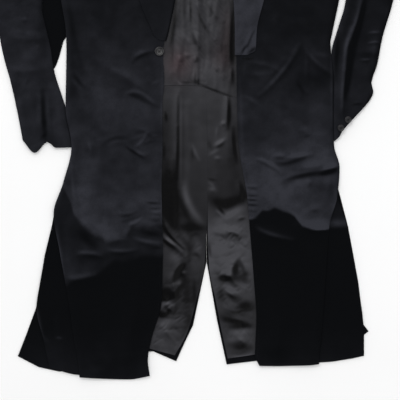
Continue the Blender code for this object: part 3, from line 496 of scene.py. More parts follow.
SLEEVE_LEFT_CREASES = creases([
    (-397, 73, -391, 73, -385, 72, 0.22, 4),
    (-350, 100, -344, 80, -343, 50, 0.12, 5),
    (-410, 45, -395, 49, -376, 38, 0.1, 5),
    (-366, 12, -362, 13, -358, 12, 0.14, 4),
    (-380, -62, -386, -68, -388, -77, -0.1, 4),
    (-352, -85, -351, -140, -345, -196, -0.42, 5),
    (-342, -90, -341, -130, -338, -180, 0.15, 4),
    (-378, -210, -365, -206, -350, -197, 0.15, 3),
    (-356, -191, -350, -186, -344, -180, -0.25, 4),
    (-405, -95, -402, -130, -398, -170, 0.08, 5),
    (-300, 330, -330, 290, -345, 230, 0.14, 7),
    (-360, 250, -385, 215, -395, 170, -0.12, 7),
])
SLEEVE_RIGHT_CREASES = creases([
    (346, 114, 338, 70, 321, 28, 0.3, 5),
    (326, 55, 309, 15, 308, -40, 0.4, 4.5),
    (308, -40, 304, -90, 303, -140, 0.3, 4),
    (353, 112, 346, 60, 323, 10, -0.45, 5),
    (323, 10, 320, -40, 311, -100, -0.6, 6),
    (297, 40, 291, 0, 292, -62, -0.3, 5),
    (364, 42, 376, 43, 388, 43, 0.3, 2.5),
    (362, 19, 376, 23, 390, 21, 0.3, 2.5),
    (346, -17, 356, -18, 366, -16, 0.3, 2.5),
    (406, 96, 402, 74, 398, 50, 0.2, 5),
    (376, 18, 375, -10, 371, -40, 0.1, 6),
    (328, -117, 340, -114, 350, -116, -0.2, 2.5),
    (300, 330, 330, 280, 345, 220, 0.14, 7),
    (352, 260, 375, 220, 380, 170, -0.12, 7),
])
LAPEL_RIGHT_CREASES = creases([
    (113, 46, 104, 30, 96, 6, -0.5, 3),
    (105, 46, 100, 30, 90, 14, 0.2, 3),
    (98, 14, 90, 8, 84, -6, -0.7, 3),
    (96, 8, 94, 2, 90, -5, 0.3, 3),
    (117, 8, 108, 4, 100, -5, -0.8, 4),
    (112, 34, 112, 22, 111, 12, 0.15, 3),
    (93, 112, 88, 100, 84, 88, -0.12, 5),
])
PLEAT_LEFT_CREASES = creases([
    (-366, -555, -362, -590, -352, -624, 0.55, 3),
    (-352, -624, -348, -632, -340, -636, 0.14, 5),
    (-322, -629, -316, -628, -310, -629, 0.32, 3),
    (-322, -575, -321, -598, -320, -622, 0.05, 6),
])

BODICE_CREASES = creases([
    # Upright at the chest
    (-27, 115, -28, 85, -26, 62, -0.3, 3),
    (-33, 100, -32, 91, -31, 82, 0.14, 3),
    (-42, 110, -42, 92, -41, 75, -0.15, 3),
    (-12, 100, -9, 68, 11, 44, -0.34, 3.5),
    (5, 113, 14, 95, 29, 74, -0.16, 4),
    (-20, 260, -26, 190, -25, 130, -0.26, 3.5),
    (14, 250, 4, 190, 8, 130, -0.22, 4),
    (42, 280, 46, 220, 40, 150, 0.16, 4),
    (-46, 280, -52, 220, -46, 150, 0.16, 4),
    # The centre pleat and what runs into it
    (-24, 48, -22, 22, -8, 5, -0.35, 5),
    (-42, 40, -37, 30, -28, 22, 0.15, 4),
    (-14, -8, -13, -16, -12, -24, -0.4, 4),
    (-17, -42, -17, -58, -17, -76, -0.3, 2.5),
    (-10, -58, -10, -68, -10, -78, -0.4, 2.5),
    # Crinkles either side of it
    (-55, -8, -54, -15, -52, -24, 0.3, 5),
    (-42, -3, -35, -4, -27, -5, 0.16, 4),
    (-57, -64, -51, -69, -45, -76, 0.3, 4),
    (30, 30, 29, 26, 30, 22, -0.16, 3),
    (26, -38, 28, -42, 32, -45, -0.14, 3),
    (40, -32, 36, -36, 34, -28, 0.12, 3),
    # Painted shadow along the waist seam, and a painted highlight on the cloth just above it
    (-8, -71, 20, -84, 62, -98, -0.6, 2.5),
    (-6, -68, 6, -73, 18, -78, 0.15, 3),
    # In the shade of the fronts
    (-59, 118, -62, 60, -73, 12, -0.6, 5),
    (70, 118, 70, 60, 65, 18, -0.9, 6),
    (65, 22, 64, 0, 65, -24, -0.7, 5),
    (66, -38, 66, -55, 66, -72, -0.4, 4),
])
SKIRT_LEFT_CREASES = creases([
    # The long crease, and the shade beside the front
    (-55, -98, -55, -140, -56, -180, -0.35, 3.5),
    (-55, -165, -55, -220, -57, -278, -0.55, 3.5),
    (-49, -98, -49, -190, -49, -290, 0.2, 3),
    (-83, -132, -82, -141, -80, -151, -0.5, 3.5),
    (-86, -200, -86, -218, -86, -236, -0.3, 4),
    (-76, -250, -77, -325, -72, -388, -0.3, 13),
    (-62, -240, -60, -310, -60, -382, -0.35, 6),
    (-88, -308, -88, -330, -83, -354, -0.3, 4),
    # Down the middle
    (-22, -204, -19, -220, -8, -237, 0.35, 4),
    (-24, -212, -24, -224, -22, -237, -0.15, 3),
    (-41, -288, -42, -332, -4, -373, 0.6, 8),
    (-52, -308, -46, -350, -20, -386, -0.25, 7),
    (-50, -386, -25, -384, 5, -390, -0.45, 9),
    # Slanting folds from under the front
    (-88, -352, -86, -376, -60, -401, 0.3, 5),
    (-86, -385, -76, -405, -43, -433, -0.7, 3),
    (-91, -400, -70, -414, -47, -436, 0.5, 5),
    (-89, -411, -80, -421, -65, -429, -0.6, 3.5),
    (-75, -440, -60, -453, -42, -446, 0.3, 12),
    (-40, -400, -32, -410, -26, -426, 0.25, 6),
    (-18, -410, -9, -428, -5, -446, 0.25, 9),
    (-24, -405, -15, -397, -5, -404, -0.2, 4),
    (-28, -434, -31, -452, -30, -471, -0.2, 5),
    (-22, -446, -13, -440, -6, -456, -0.25, 4),
    # The crumpled lower skirt
    (-40, -467, -54, -476, -63, -502, -0.7, 5),
    (-50, -482, -44, -483, -37, -483, 0.25, 4),
    (-45, -512, -54, -520, -58, -530, -0.4, 4),
    (-56, -502, -52, -507, -50, -512, 0.2, 6),
    (-92, -534, -75, -541, -58, -534, -0.6, 6),
    (-94, -548, -84, -546, -74, -543, -0.5, 4),
    (-93, -561, -91, -544, -67, -555, 0.5, 5),
    (-80, -564, -76, -568, -72, -570, -0.5, 4),
    (-98, -580, -86, -583, -73, -571, -0.6, 4),
    (-88, -470, -88, -492, -88, -516, 0.15, 5),
    (-20, -500, -18, -530, -19, -562, -0.35, 5),
    (-65, -575, -80, -590, -88, -622, 0.22, 12),
    (-58, -612, -48, -613, -37, -611, -0.15, 4),
    (-28, -574, -28, -588, -31, -602, -0.2, 5),
    (-51, -644, -48, -650, -44, -656, 0.25, 3),
])
SKIRT_RIGHT_CREASES = creases([
    # In the shade of the front
    (57, -100, 58, -135, 55, -168, -0.7, 4.5),
    (67, -166, 67, -205, 74, -242, -0.45, 4.5),
    (74, -198, 75, -216, 79, -234, 0.2, 3),
    (82, -288, 88, -306, 88, -326, -0.5, 5),
    # Down the middle
    (39, -158, 43, -155, 47, -152, 0.35, 4),
    (30, -165, 29, -175, 28, -186, 0.2, 3),
    (24, -204, 33, -200, 46, -191, 0.45, 4),
    (30, -211, 37, -208, 45, -202, -0.25, 3),
    (11, -228, 20, -221, 33, -214, 0.3, 4),
    (24, -231, 31, -232, 38, -231, 0.3, 4),
    (12, -194, 13, -206, 20, -216, -0.18, 5),
    (11, -279, 19, -281, 28, -282, -0.25, 3),
    (10, -286, 20, -289, 24, -298, 0.3, 4),
    (12, -302, 19, -299, 28, -304, 0.4, 5),
    # Painted shade in the hollow, and a painted highlight on the pad below it
    (18, -324, 50, -348, 92, -318, -0.6, 12),
    (29, -347, 34, -352, 41, -359, 0.3, 3),
    (35, -343, 41, -349, 47, -358, -0.4, 3),
    (40, -368, 66, -350, 92, -338, 0.6, 10),
    (78, -371, 85, -366, 93, -367, -0.35, 3),
    (14, -398, 30, -402, 46, -406, -0.2, 5),
    (45, -405, 70, -388, 81, -416, -0.2, 4),
    (13, -420, 14, -434, 17, -449, -0.5, 3),
    # The crumpled lower skirt
    (79, -459, 70, -468, 66, -496, -0.55, 6),
    (79, -459, 87, -470, 92, -490, -0.5, 5),
    (34, -492, 50, -502, 73, -500, -0.7, 7),
    (48, -519, 70, -532, 96, -525, 0.35, 8),
    (49, -528, 57, -536, 69, -541, -0.4, 4),
    (75, -546, 95, -558, 109, -546, -0.35, 10),
    (44, -578, 52, -580, 61, -582, 0.15, 4),
    (48, -590, 75, -592, 101, -601, -0.55, 6),
    (60, -616, 80, -613, 104, -613, 0.3, 8),
    (54, -632, 75, -630, 96, -630, 0.25, 6),
    (64, -648, 82, -651, 101, -652, -0.4, 8),
    (63, -667, 84, -677, 106, -664, 0.4, 5),
])

# How the nap lies. Tones run from 0, smoothed down and deep black, to 1, brushed up. Their creases and the
# slopes of folds add painted highlights and shade.
DEEP = [(-330, 0.03), (-420, 0.02), (-600, 0.04), (-660, 0.12), (-700, 0.24)]
NAP_AND_PAINTED_LIGHT_FRONT_LEFT = Nap(
    down=[(420, 0.29), (60, 0.31), (-20, 0.45), (-60, 0.52), (-140, 0.58), (-210, 0.53),
          (-300, 0.68), (-370, 0.8)],
    steps=[
        Step([(-330, -285), (-306, -297), (-292, -325), (-284, -355), (-262, -383), (-238, -402), (-215, -412), (-170, -405),
              (-155, -382), (-92, -378)], 8, [(0, 0.29)]),
        Step([(-310, -512), (-262, -500), (-235, -490), (-216, -476), (-196, -461), (-165, -455),
              (-140, -447), (-92, -446)], 9, DEEP),
    ],
    patches=[
        Patch(-285, -40, 18, 90, -0.2),
        Patch(-304, -250, 12, 60, -0.24),
        Patch(-190, -110, 50, 30, 0.14),
        Patch(-120, -360, 46, 16, -0.12),
        Patch(-245, -365, 30, 30, 0.1),
        Patch(-266, -325, 26, 40, 0.14),
        Patch(-262, -400, 30, 16, -0.18),
        Patch(-224, -474, 16, 14, -0.12),
        Patch(-150, -420, 60, 12, 0.08),
    ],
    creases=FRONT_LEFT_CREASES, relief=1.5, mottle=0.09,
)
NAP_AND_PAINTED_LIGHT_FRONT_RIGHT = Nap(
    down=[(420, 0.2), (60, 0.21), (-10, 0.28), (-50, 0.37), (-120, 0.54), (-190, 0.56),
          (-250, 0.72), (-330, 0.84)],
    steps=[
        Step([(95, -377), (117, -362), (130, -349), (155, -343), (180, -349), (200, -362),
              (218, -384), (250, -394), (285, -391), (320, -385)], 4, DEEP),
    ],
    patches=[
        Patch(240, -210, 40, 40, 0.1),
        Patch(100, -140, 40, 60, -0.1),
        Patch(250, -60, 50, 40, -0.2),
        Patch(200, -305, 40, 24, 0.12),
        Patch(196, -62, 26, 20, -0.04),
        Patch(150, -290, 50, 34, 0.12),
        Patch(266, -304, 40, 40, -0.17),
        Patch(262, -376, 40, 10, 0.3),
    ],
    creases=FRONT_RIGHT_CREASES, relief=1.5, mottle=0.08,
)
NAP_AND_PAINTED_LIGHT_SLEEVE_LEFT = Nap([(420, 0.42), (60, 0.46), (0, 0.53), (-110, 0.5), (-200, 0.46)], [],
                      [Patch(-350, 40, 14, 160, -0.16), Patch(-318, -130, 16, 50, 0.14)],
                      SLEEVE_LEFT_CREASES, 1.3, 0.08)
NAP_AND_PAINTED_LIGHT_SLEEVE_RIGHT = Nap([(420, 0.2), (60, 0.22), (-60, 0.34), (-200, 0.4)], [],
                       [Patch(340, 20, 20, 60, -0.1), Patch(382, 0, 20, 120, 0.08)],
                       SLEEVE_RIGHT_CREASES, 1.5, 0.06)
NAP_AND_PAINTED_LIGHT_LAPEL_LEFT = Nap([(420, 0.3), (60, 0.3), (20, 0.34)], [], [],
                     [Crease(-60, 118, -64, 70, -76, 18, -0.4, 4)], 1.2, 0.06)
NAP_AND_PAINTED_LIGHT_LAPEL_RIGHT = Nap([(420, 0.8), (0, 0.88)], [], [], LAPEL_RIGHT_CREASES, 1.2, 0.05)
NAP_AND_PAINTED_LIGHT_COLLAR = Nap([(420, 0.4), (300, 0.4)], [], [], [], 1.2, 0.06)
NAP_DEEP = Nap([(420, 0.02)] + DEEP, [], [], [], 1.0, 0.03)
NAP_AND_PAINTED_LIGHT_PLEAT_RIGHT = NAP_DEEP._replace(
    patches=[Patch(300, -350, 30, 28, 0.2), Patch(300, -376, 34, 9, 0.6)],
    creases=creases([(258, -394, 290, -396, 322, -390, -0.5, 4)]),
)
NAP_AND_PAINTED_LIGHT_PLEAT_LEFT = NAP_DEEP._replace(
    patches=[Patch(-330, -660, 40, 30, 0.1)], creases=PLEAT_LEFT_CREASES
)

# The satin's painted shine. Tones run from 0, painted shade where it turns from the light, to 1, its brightest
# painted highlight.
PAINTED_SHINE_BODICE = Nap(
    down=[(420, 0.66), (60, 0.64), (-100, 0.7)], steps=[],
    # Painted shade on the lining beside the fronts
    patches=[Patch(64, 0, 16, 120, -0.25), Patch(-80, 60, 16, 90, -0.16), Patch(45, 26, 20, 44, -0.18)],
    creases=BODICE_CREASES, relief=1.8, mottle=0.06,
)
PAINTED_SHINE_SKIRT_LEFT = Nap(
    down=[(-56, 0.68), (-160, 0.58), (-260, 0.48), (-330, 0.38), (-400, 0.4), (-440, 0.5), (-480, 0.46),
          (-540, 0.38), (-580, 0.5), (-620, 0.64), (-660, 0.68)],
    steps=[],
    patches=[
        # Painted shade in the strip beside the front
        Patch(-84, -170, 22, 70, -0.26), Patch(-78, -330, 22, 80, -0.5), Patch(-6, -282, 12, 40, -0.06),
        # Painted shade in the hollows of the crumpled part, and a painted highlight on one of its pads
        Patch(-48, -486, 14, 26, -0.42), Patch(-77, -530, 18, 15, -0.5), Patch(-35, -530, 10, 40, -0.22),
        Patch(-88, -500, 8, 22, -0.16), Patch(-92, -574, 13, 6, -0.5), Patch(-30, -420, 8, 22, -0.24),
        Patch(-36, -586, 8, 24, -0.16), Patch(-102, -552, 8, 12, -0.4), Patch(-60, -455, 12, 10, 0.16),
    ],
    creases=SKIRT_LEFT_CREASES, relief=1.9, mottle=0.08,
)
PAINTED_SHINE_SKIRT_RIGHT = Nap(
    down=[(-70, 0.64), (-160, 0.56), (-240, 0.46), (-310, 0.38), (-345, 0.5), (-400, 0.94),
          (-470, 0.92), (-520, 0.72), (-570, 0.54), (-620, 0.6), (-670, 0.66)],
    steps=[],
    patches=[
        # Painted shade in the strip beside the front
        Patch(72, -230, 16, 80, -0.2),
        # Painted shade in the hollows of the crumpled part, and painted highlights on its pads
        Patch(46, -498, 15, 8, -0.6), Patch(73, -480, 8, 16, -0.6), Patch(89, -498, 12, 10, -0.5),
        Patch(40, -532, 9, 16, -0.5), Patch(67, -538, 15, 9, -0.4), Patch(92, -560, 24, 9, -0.45),
        Patch(50, -582, 15, 10, -0.42), Patch(80, -605, 26, 7, -0.5), Patch(70, -520, 20, 7, 0.2),
        Patch(82, -646, 24, 7, -0.2),
        Patch(40, -440, 14, 20, 0.12),
    ],
    creases=SKIRT_RIGHT_CREASES, relief=1.9, mottle=0.08,
)

# The warm cast on the lining beside the fronts at the waist
WARM_PATCHES = [Patch(-54, -26, 34, 36, 1.0), Patch(54, 30, 14, 60, 0.7), Patch(40, -10, 24, 30, 0.5)]


# Smooth curves through the rows of a table


def through(values, stations, s):
    """The smooth curve through values, read at s, which never overshoots them."""
    values, stations = np.asarray(values, float), np.asarray(stations, float)
    steps = np.diff(values) / np.diff(stations)
    before, after = steps[:-1], steps[1:]
    product = before * after
    total = np.where(product > 0, before + after, 1.0)
    inner = np.where(product > 0, 2 * product / total, 0.0)
    slopes = np.concatenate([steps[:1], inner, steps[-1:]])
    k = np.clip(np.searchsorted(stations, s, side="left") - 1, 0, len(stations) - 2)
    span = stations[k + 1] - stations[k]
    t = np.clip((s - stations[k]) / span, 0.0, 1.0)
    start = (1 + 2 * t) * (1 - t) ** 2 * values[k] + t * (1 - t) ** 2 * span * slopes[k]
    end = t * t * (3 - 2 * t) * values[k + 1] - t * t * (1 - t) * span * slopes[k + 1]
    return start + end


def ease(t):
    """From 0 to 1, level at both ends."""
    t = np.clip(t, 0.0, 1.0)
    return t * t * (3 - 2 * t)


def roll(t):
    """The quarter round of a turned edge, which starts upright: 0 at the edge, 1 inside."""
    inside = np.clip(t, 0.0, 1.0)
    height = UPRIGHT + (1 - UPRIGHT) * np.sqrt(1 - (1 - inside) ** 2)
    return np.where(np.asarray(t) <= 0, 0.0, height)


FOLD_STEPS = 14


def along_lines(lines, size, sharp, x, y):
    """The sum over folds or creases of their size at each place, fading with distance."""
    total = np.zeros(x.shape)
    t = np.linspace(0, 1, FOLD_STEPS + 1)
    for line in lines:
        line_x = (1 - t) ** 2 * line.x0 + 2 * t * (1 - t) * line.x1 + t * t * line.x2
        line_y = (1 - t) ** 2 * line.y0 + 2 * t * (1 - t) * line.y1 + t * t * line.y2
        reach = 3 * line.width
        near = (x > line_x.min() - reach) & (x < line_x.max() + reach)
        near &= (y > line_y.min() - reach) & (y < line_y.max() + reach)
        if not near.any():
            continue
        px, py = x[near], y[near]
        nearest = np.full(px.shape, 1e9)
        along = np.zeros(px.shape)
        for k in range(FOLD_STEPS):
            dx, dy = line_x[k + 1] - line_x[k], line_y[k + 1] - line_y[k]
            away_x, away_y = px - line_x[k], py - line_y[k]
            share = np.clip((away_x * dx + away_y * dy) / (dx * dx + dy * dy), 0, 1)
            away = np.hypot(away_x - share * dx, away_y - share * dy)
            closer = away < nearest
            nearest = np.where(closer, away, nearest)
            along = np.where(closer, (k + share) / FOLD_STEPS, along)
        fade = 0.35 + 0.65 * np.sin(np.pi * along)
        total[near] += getattr(line, size) * fade * np.exp(-((nearest / line.width) ** sharp))
    return total


def fold_height(folds, x, y):
    """How far the folds lift or sink the cloth at each place."""
    return along_lines(folds, "rise", 1.6, x, y)


# A crease wider than this is only a painted highlight or painted shade. Others lift the cloth beside them.
CREASE_WIDEST = 7.0
CREASE_HIGHEST = 2.0


def raised(rows):
    """The ridge beside each crease, whose slope toward or away from the light is the streak."""
    ridges = []
    for c in rows:
        if c.width > CREASE_WIDEST:
            continue
        run = max(math.hypot(c.x2 - c.x0, c.y2 - c.y0), 1.0)
        square_x, square_y = -(c.y2 - c.y0) / run, (c.x2 - c.x0) / run
        if square_x * LIGHT_X + square_y * LIGHT_Y < 0:
            square_x, square_y = -square_x, -square_y
        # The light side of a ridge is toward the light, so a light streak has its ridge beyond it
        shift = -math.copysign(c.width, c.tone)
        dx, dy = square_x * shift, square_y * shift
        rise = min(0.75 * abs(c.tone) * c.width, CREASE_HIGHEST)
        ridges.append(Fold(
            c.x0 + dx, c.y0 + dy, c.x1 + dx, c.y1 + dy, c.x2 + dx, c.y2 + dy, rise, 1.3 * c.width
        ))
    return ridges


NOISE_CELLS = 64


def wander(x, y, size_x, size_y, seed):
    """Smooth noise from -1 to 1 whose swells are about as large as the given sizes."""
    values = np.random.default_rng(seed).uniform(-1, 1, (NOISE_CELLS, NOISE_CELLS))
    gx, gy = x / size_x, y / size_y
    i, j = np.floor(gx).astype(int), np.floor(gy).astype(int)
    fx, fy = ease(gx - i), ease(gy - j)
    i, j = i % NOISE_CELLS, j % NOISE_CELLS
    ni, nj = (i + 1) % NOISE_CELLS, (j + 1) % NOISE_CELLS
    low = values[i, j] * (1 - fx) + values[ni, j] * fx
    high = values[i, nj] * (1 - fx) + values[ni, nj] * fx
    return low * (1 - fy) + high * fy


def pads(x, y, size_x, size_y, seed):
    """Soft pads between sharp valleys, from 0 to 1, in two sizes laid across each other."""
    bend = 0.4 * size_x * wander(x, y, 2 * size_x, 2 * size_y, seed + 1)
    large = np.abs(wander(x + bend, y, size_x, size_y, seed))
    turned_x, turned_y = 0.8 * x + 0.6 * y, 0.8 * y - 0.6 * x
    small = np.abs(wander(turned_x, turned_y + bend, 0.5 * size_x, 0.5 * size_y, seed + 2))
    return 0.65 * large + 0.35 * small


# An uneven surface on a piece: height and sizes of its swells, height and sizes of its pads,
# and the line below which the pads come in, over a reach
Rough = namedtuple("Rough", "swell swell_x swell_y pad pad_x pad_y pads_from pads_reach seed")
EVERYWHERE = 1000
VELVET_ROUGH = Rough(0.5, 60, 90, 0.3, 30, 24, EVERYWHERE, 1, 3)
SLEEVE_ROUGH = Rough(0.5, 34, 60, 0.3, 26, 20, EVERYWHERE, 1, 11)
PLEAT_ROUGH = Rough(0.25, 40, 60, 0.0, 30, 30, EVERYWHERE, 1, 17)
SATIN_ROUGH = Rough(0.45, 7, 45, 0.7, 14, 30, EVERYWHERE, 1, 23)
SATIN_LOW_ROUGH = Rough(0.25, 22, 60, 1.8, 24, 20, -370, 60, 31)


class Panel:
    """A piece of cloth between an edge a and an edge b, from its first row to its last."""

    def __init__(self, rows, folds=(), roll_a=0, roll_b=0, roll_start=0, start=(), end=(),
                 reach=45, rough=None, cover=(0, 0), lowest=0):
        self.rows, self.folds, self.rough = rows, folds, rough
        # How far each side lies under other cloth, where it stays level, and how low folds go
        self.cover_a, self.cover_b = cover
        self.lowest = lowest
        self.roll_a, self.roll_b, self.roll_start = roll_a, roll_b, roll_start
        self.start, self.end, self.reach = start, end, reach
        self.head = None
        self.beside = None
        self.stations = [0.0]
        for r, q in zip(rows, rows[1:]):
            step_a = math.hypot(q.ax - r.ax, q.ay - r.ay)
            step_b = math.hypot(q.bx - r.bx, q.by - r.by)
            self.stations.append(self.stations[-1] + (step_a + step_b) / 2)
        self.length = self.stations[-1]
        self.columns = {name: [getattr(row, name) for row in rows] for name in Row._fields}

    def at(self, name, s):
        return through(self.columns[name], self.stations, s)

    def edge_a(self, s):
        return self.at("ax", s), self.at("ay", s)

    def edge_b(self, s):
        x, y = self.at("bx", s), self.at("by", s)
        return (self.beside(x, y), y) if self.beside else (x, y)

    def width(self, s):
        (ax, ay), (bx, by) = self.edge_a(s), self.edge_b(s)
        return np.hypot(bx - ax, by - ay)

    def station_of_a(self, y):
        """The station where edge a is at height y of the plan."""
        return self.search(y, "ay")

    def station_of_b(self, y):
        return self.search(y, "by")

    def search(self, y, name):
        s = np.linspace(0, self.length, 2000)
        return np.interp(-np.asarray(y, float), -self.at(name, s), s)

    def plan(self, u, s):
        """The place of the cloth at share u from a to b, at station s."""
        (ax, ay), (bx, by) = self.edge_a(s), self.edge_b(s)
        x, y = ax + (bx - ax) * u, ay + (by - ay) * u
        if self.end:
            shares = [row.across for row in self.end]
            near_end = ease(1 - (self.length - s) / self.reach)
            (cx, cy), (dx, dy) = self.heading_at_end()
            down = through([row.reach for row in self.end], shares, u) * near_end
            x, y = x + (cx + (dx - cx) * u) * down, y + (cy + (dy - cy) * u) * down
        if self.start:
            shares = [row.across for row in self.start]
            sag = through([row.reach for row in self.start], shares, u)
            y = y - sag * ease(1 - s / self.reach)
        if self.head:
            near = ease(1 - s / HEAD_REACH)
            hx, hy = self.head(u)
            (ax, ay), (bx, by) = self.edge_a(0), self.edge_b(0)
            x = x + (hx - ax - (bx - ax) * u) * near
            y = y + (hy - ay - (by - ay) * u) * near
        return x, y

    def heading_at_end(self):
        """The way that both edges run as they reach the last row."""
        r, q = self.rows[-2], self.rows[-1]
        ways = []
        for dx, dy in ((q.ax - r.ax, q.ay - r.ay), (q.bx - r.bx, q.by - r.by)):
            size = math.hypot(dx, dy)
            ways.append((dx / size, dy / size))
        return ways

    def top(self, u, s):
        """The height of the cloth's upper face at a place."""
        width, mid = self.width(s), self.at("mid_top", s)
        from_a, from_b = u * width, (1 - u) * width
        rise_a = roll(from_a / self.roll_a) if self.roll_a else ease(from_a / EDGE_EASE)
        rise_b = roll(from_b / self.roll_b) if self.roll_b else ease(from_b / EDGE_EASE)
        x, y = self.plan(u, s)
        free = ease((from_a - self.cover_a) / FOLD_EASE) * ease((from_b - self.cover_b) / FOLD_EASE)
        free = free * ease(s / 20.0)
        height = mid + fold_height(self.folds, x, y) * free
        if self.end:
            tops = [row.top for row in self.end]
            last = through(tops, [row.across for row in self.end], u)
            height = height + (last - height) * ease(1 - (self.length - s) / self.reach)
        height = height - (height - self.at("a_top", s)) * (1 - rise_a)
        height = height - (height - self.at("b_top", s)) * (1 - rise_b)
        if self.roll_start:
            height = height - (height - SIDE_LOW) * (1 - roll(s / self.roll_start))
        if self.rough:
            height = height + unevenness(self.rough, x, y) * free * ease((self.length - s) / 14)
        if self.lowest:
            # Troughs go no lower than the cloth beneath, but turned edges and the hem may
            flat = np.minimum(rise_a, rise_b) > 0.98
            flat = flat & (s < self.length - self.reach) & (s > self.roll_start)
            height = np.where(flat, np.maximum(height, self.lowest), height)
        return height

    def point(self, u, s):
        x, y = self.plan(u, s)
        return x, y, self.top(u, s)


def unevenness(rough, x, y):
    """The small swells and pads of cloth that has been worn and put away."""
    height = rough.swell * wander(x, y, rough.swell_x, rough.swell_y, rough.seed)
    where = 0.6 + 0.4 * wander(x, y, 70, 110, rough.seed + 5)
    where = where * ease(0.5 + (rough.pads_from - y) / rough.pads_reach)
    return height + where * rough.pad * pads(x, y, rough.pad_x, rough.pad_y, rough.seed + 9)


TURNED = np.array([0.0, 0.05, 0.6, 1.4, 2.6, 4.2, 6.2, 8.8, 11.6])
CUT = np.array([0.0, 1.0])


def spacing(length, start_steps, end_steps, step):
    """Places along a length: close together at its turned ends, even between them."""
    first, last = start_steps[-1], length - end_steps[-1]
    count = max(2, round((last - first) / step))
    even = first + (last - first) * np.arange(1, count) / count
    return np.concatenate([start_steps, even, length - end_steps[::-1]])


def grid_points(panel, step):
    """The upper face of a panel as a grid of points about as far apart as step."""
    longest = float(np.max(panel.width(np.linspace(0, panel.length, 50))))
    stations = spacing(panel.length, TURNED if panel.roll_start else CUT, CUT, step)
    steps_a = TURNED if panel.roll_a else CUT
    steps_b = TURNED if panel.roll_b else CUT
    columns = len(spacing(longest, steps_a, steps_b, step))
    middle = columns - len(steps_a) - len(steps_b)
    shares = []
    for s in stations:
        width = float(panel.width(s))
        first, last = steps_a[-1], width - steps_b[-1]
        even = first + (last - first) * np.arange(1, middle + 1) / (middle + 1)
        line = np.concatenate([steps_a, even, width - steps_b[::-1]])
        shares.append(line / width)
    u = np.array(shares)
    s = np.repeat(stations[:, None], u.shape[1], axis=1)
    x, y, z = panel.point(u, s)
    return np.stack([x, y, z], axis=-1)


# Tones that ride on the cloth


def patch_sum(patches, x, y):
    total = np.zeros(x.shape)
    for patch in patches:
        total += patch.tone * np.exp(
            -(((x - patch.x) / patch.reach_x) ** 2) - ((y - patch.y) / patch.reach_y) ** 2
        )
    return total


# Where the window light comes from, as a slope toward it: from the collar and a little left
LIGHT_X = -0.35
LIGHT_Y = 1.0


# How much of a raised crease's painted highlight or shade is laid on the cloth. Its slope gives the rest.
PAINTED = 0.85


def down_length(table, y):
    """A table of places and tones, read at y. Its places run downward."""
    return np.interp(-y, [-place for place, tone in table], [tone for place, tone in table])


def laid_tone(tones_and_painted_light, x, y):
    """How the pile or the satin's sheen lies at each place, with its patches and the painted highlights and
    shade of its creases, before its folds turn it.
    """
    tone = down_length(tones_and_painted_light.down, y)
    for step in tones_and_painted_light.steps:
        edge = np.interp(x, [a for a, b in step.edge], [b for a, b in step.edge])
        edge = edge + 3 * wander(x, y, 16, 16, 41)
        below = down_length(step.down, y)
        tone = below + (tone - below) * ease(0.5 + (y - edge) / (2 * step.fade))
    broad, fine = wander(x, y, 42, 36, 61), wander(x, y, 15, 12, 67)
    tone = tone * (1 + tones_and_painted_light.mottle * (1.6 * broad + 1.1 * fine))
    wide = [crease for crease in tones_and_painted_light.creases if crease.width > CREASE_WIDEST]
    narrow = [crease for crease in tones_and_painted_light.creases if crease.width <= CREASE_WIDEST]
    tone = tone + along_lines(wide, "tone", 2, x, y)
    tone = tone + PAINTED * along_lines(narrow, "tone", 2, x, y)
    return tone + patch_sum(tones_and_painted_light.patches, x, y)


def shown(tone):
    """A tone as the share of the lighter colour that it shows."""
    return np.clip(tone, 0.0, 1.2) ** 1.5


def cloth_tone(tones_and_painted_light, grid):
    """How light each place of a piece is: its pile or sheen, and the painted highlights and shade where its
    folds turn toward or away from the window light.
    """
    tone = laid_tone(tones_and_painted_light, grid[..., 0], grid[..., 1])
    across = np.gradient(grid, axis=1)
    along = np.gradient(grid, axis=0)
    normal = np.cross(across, along)
    normal *= np.sign(normal[..., 2:3])
    size = np.maximum(np.linalg.norm(normal, axis=-1), 1e-9)
    turn = (normal[..., 0] * LIGHT_X + normal[..., 1] * LIGHT_Y) / size
    # Painted highlights and shade of the folds are weaker where the cloth is deep black
    return shown(tone + tones_and_painted_light.relief * np.clip(0.35 + tone, 0, 1) * np.clip(turn, -0.35, 0.35))


# Blender objects


def linear(code):
    """An sRGB hex colour as the linear colour that a shader takes."""
    channels = [int(code[k:k + 2], 16) / 255 for k in (1, 3, 5)]
    return tuple(c / 12.92 if c <= 0.04045 else ((c + 0.055) / 1.055) ** 2.4 for c in channels)


def to_world(points):
    """Places in millimetres from the centre back, in the coat's own frame in metres."""
    moved = np.asarray(points, float) - np.array([MIDDLE_X, MIDDLE_Y, 0.0])
    return moved * MM


def deselect():
    bpy.ops.object.select_all(action="DESELECT")


def make_active(obj):
    deselect()
    obj.select_set(True)
    bpy.context.view_layer.objects.active = obj


def link(name, mesh, finish):
    obj = bpy.data.objects.new(name, mesh)
    bpy.context.scene.collection.objects.link(obj)
    mesh.materials.append(finish)
    return obj


def apply_modifier(obj, modifier):
    make_active(obj)
    bpy.ops.object.modifier_apply(modifier=modifier.name)


def round_rim(obj, shell_faces, width):
    """Rounds the cut edges of a shell, which lie between its faces and its rim."""
    shape = bmesh.new()
    shape.from_mesh(obj.data)
    shape.faces.ensure_lookup_table()
    weight = shape.edges.layers.float.new("bevel_weight_edge")
    for face in shape.faces[shell_faces:]:
        for edge in face.edges:
            if any(other.index < shell_faces for other in edge.link_faces):
                edge[weight] = 1.0
    shape.to_mesh(obj.data)
    shape.free()
    bevel = obj.modifiers.new("Worn edge", "BEVEL")
    bevel.limit_method = "WEIGHT"
    bevel.width = width * MM
    bevel.segments = 2
    apply_modifier(obj, bevel)


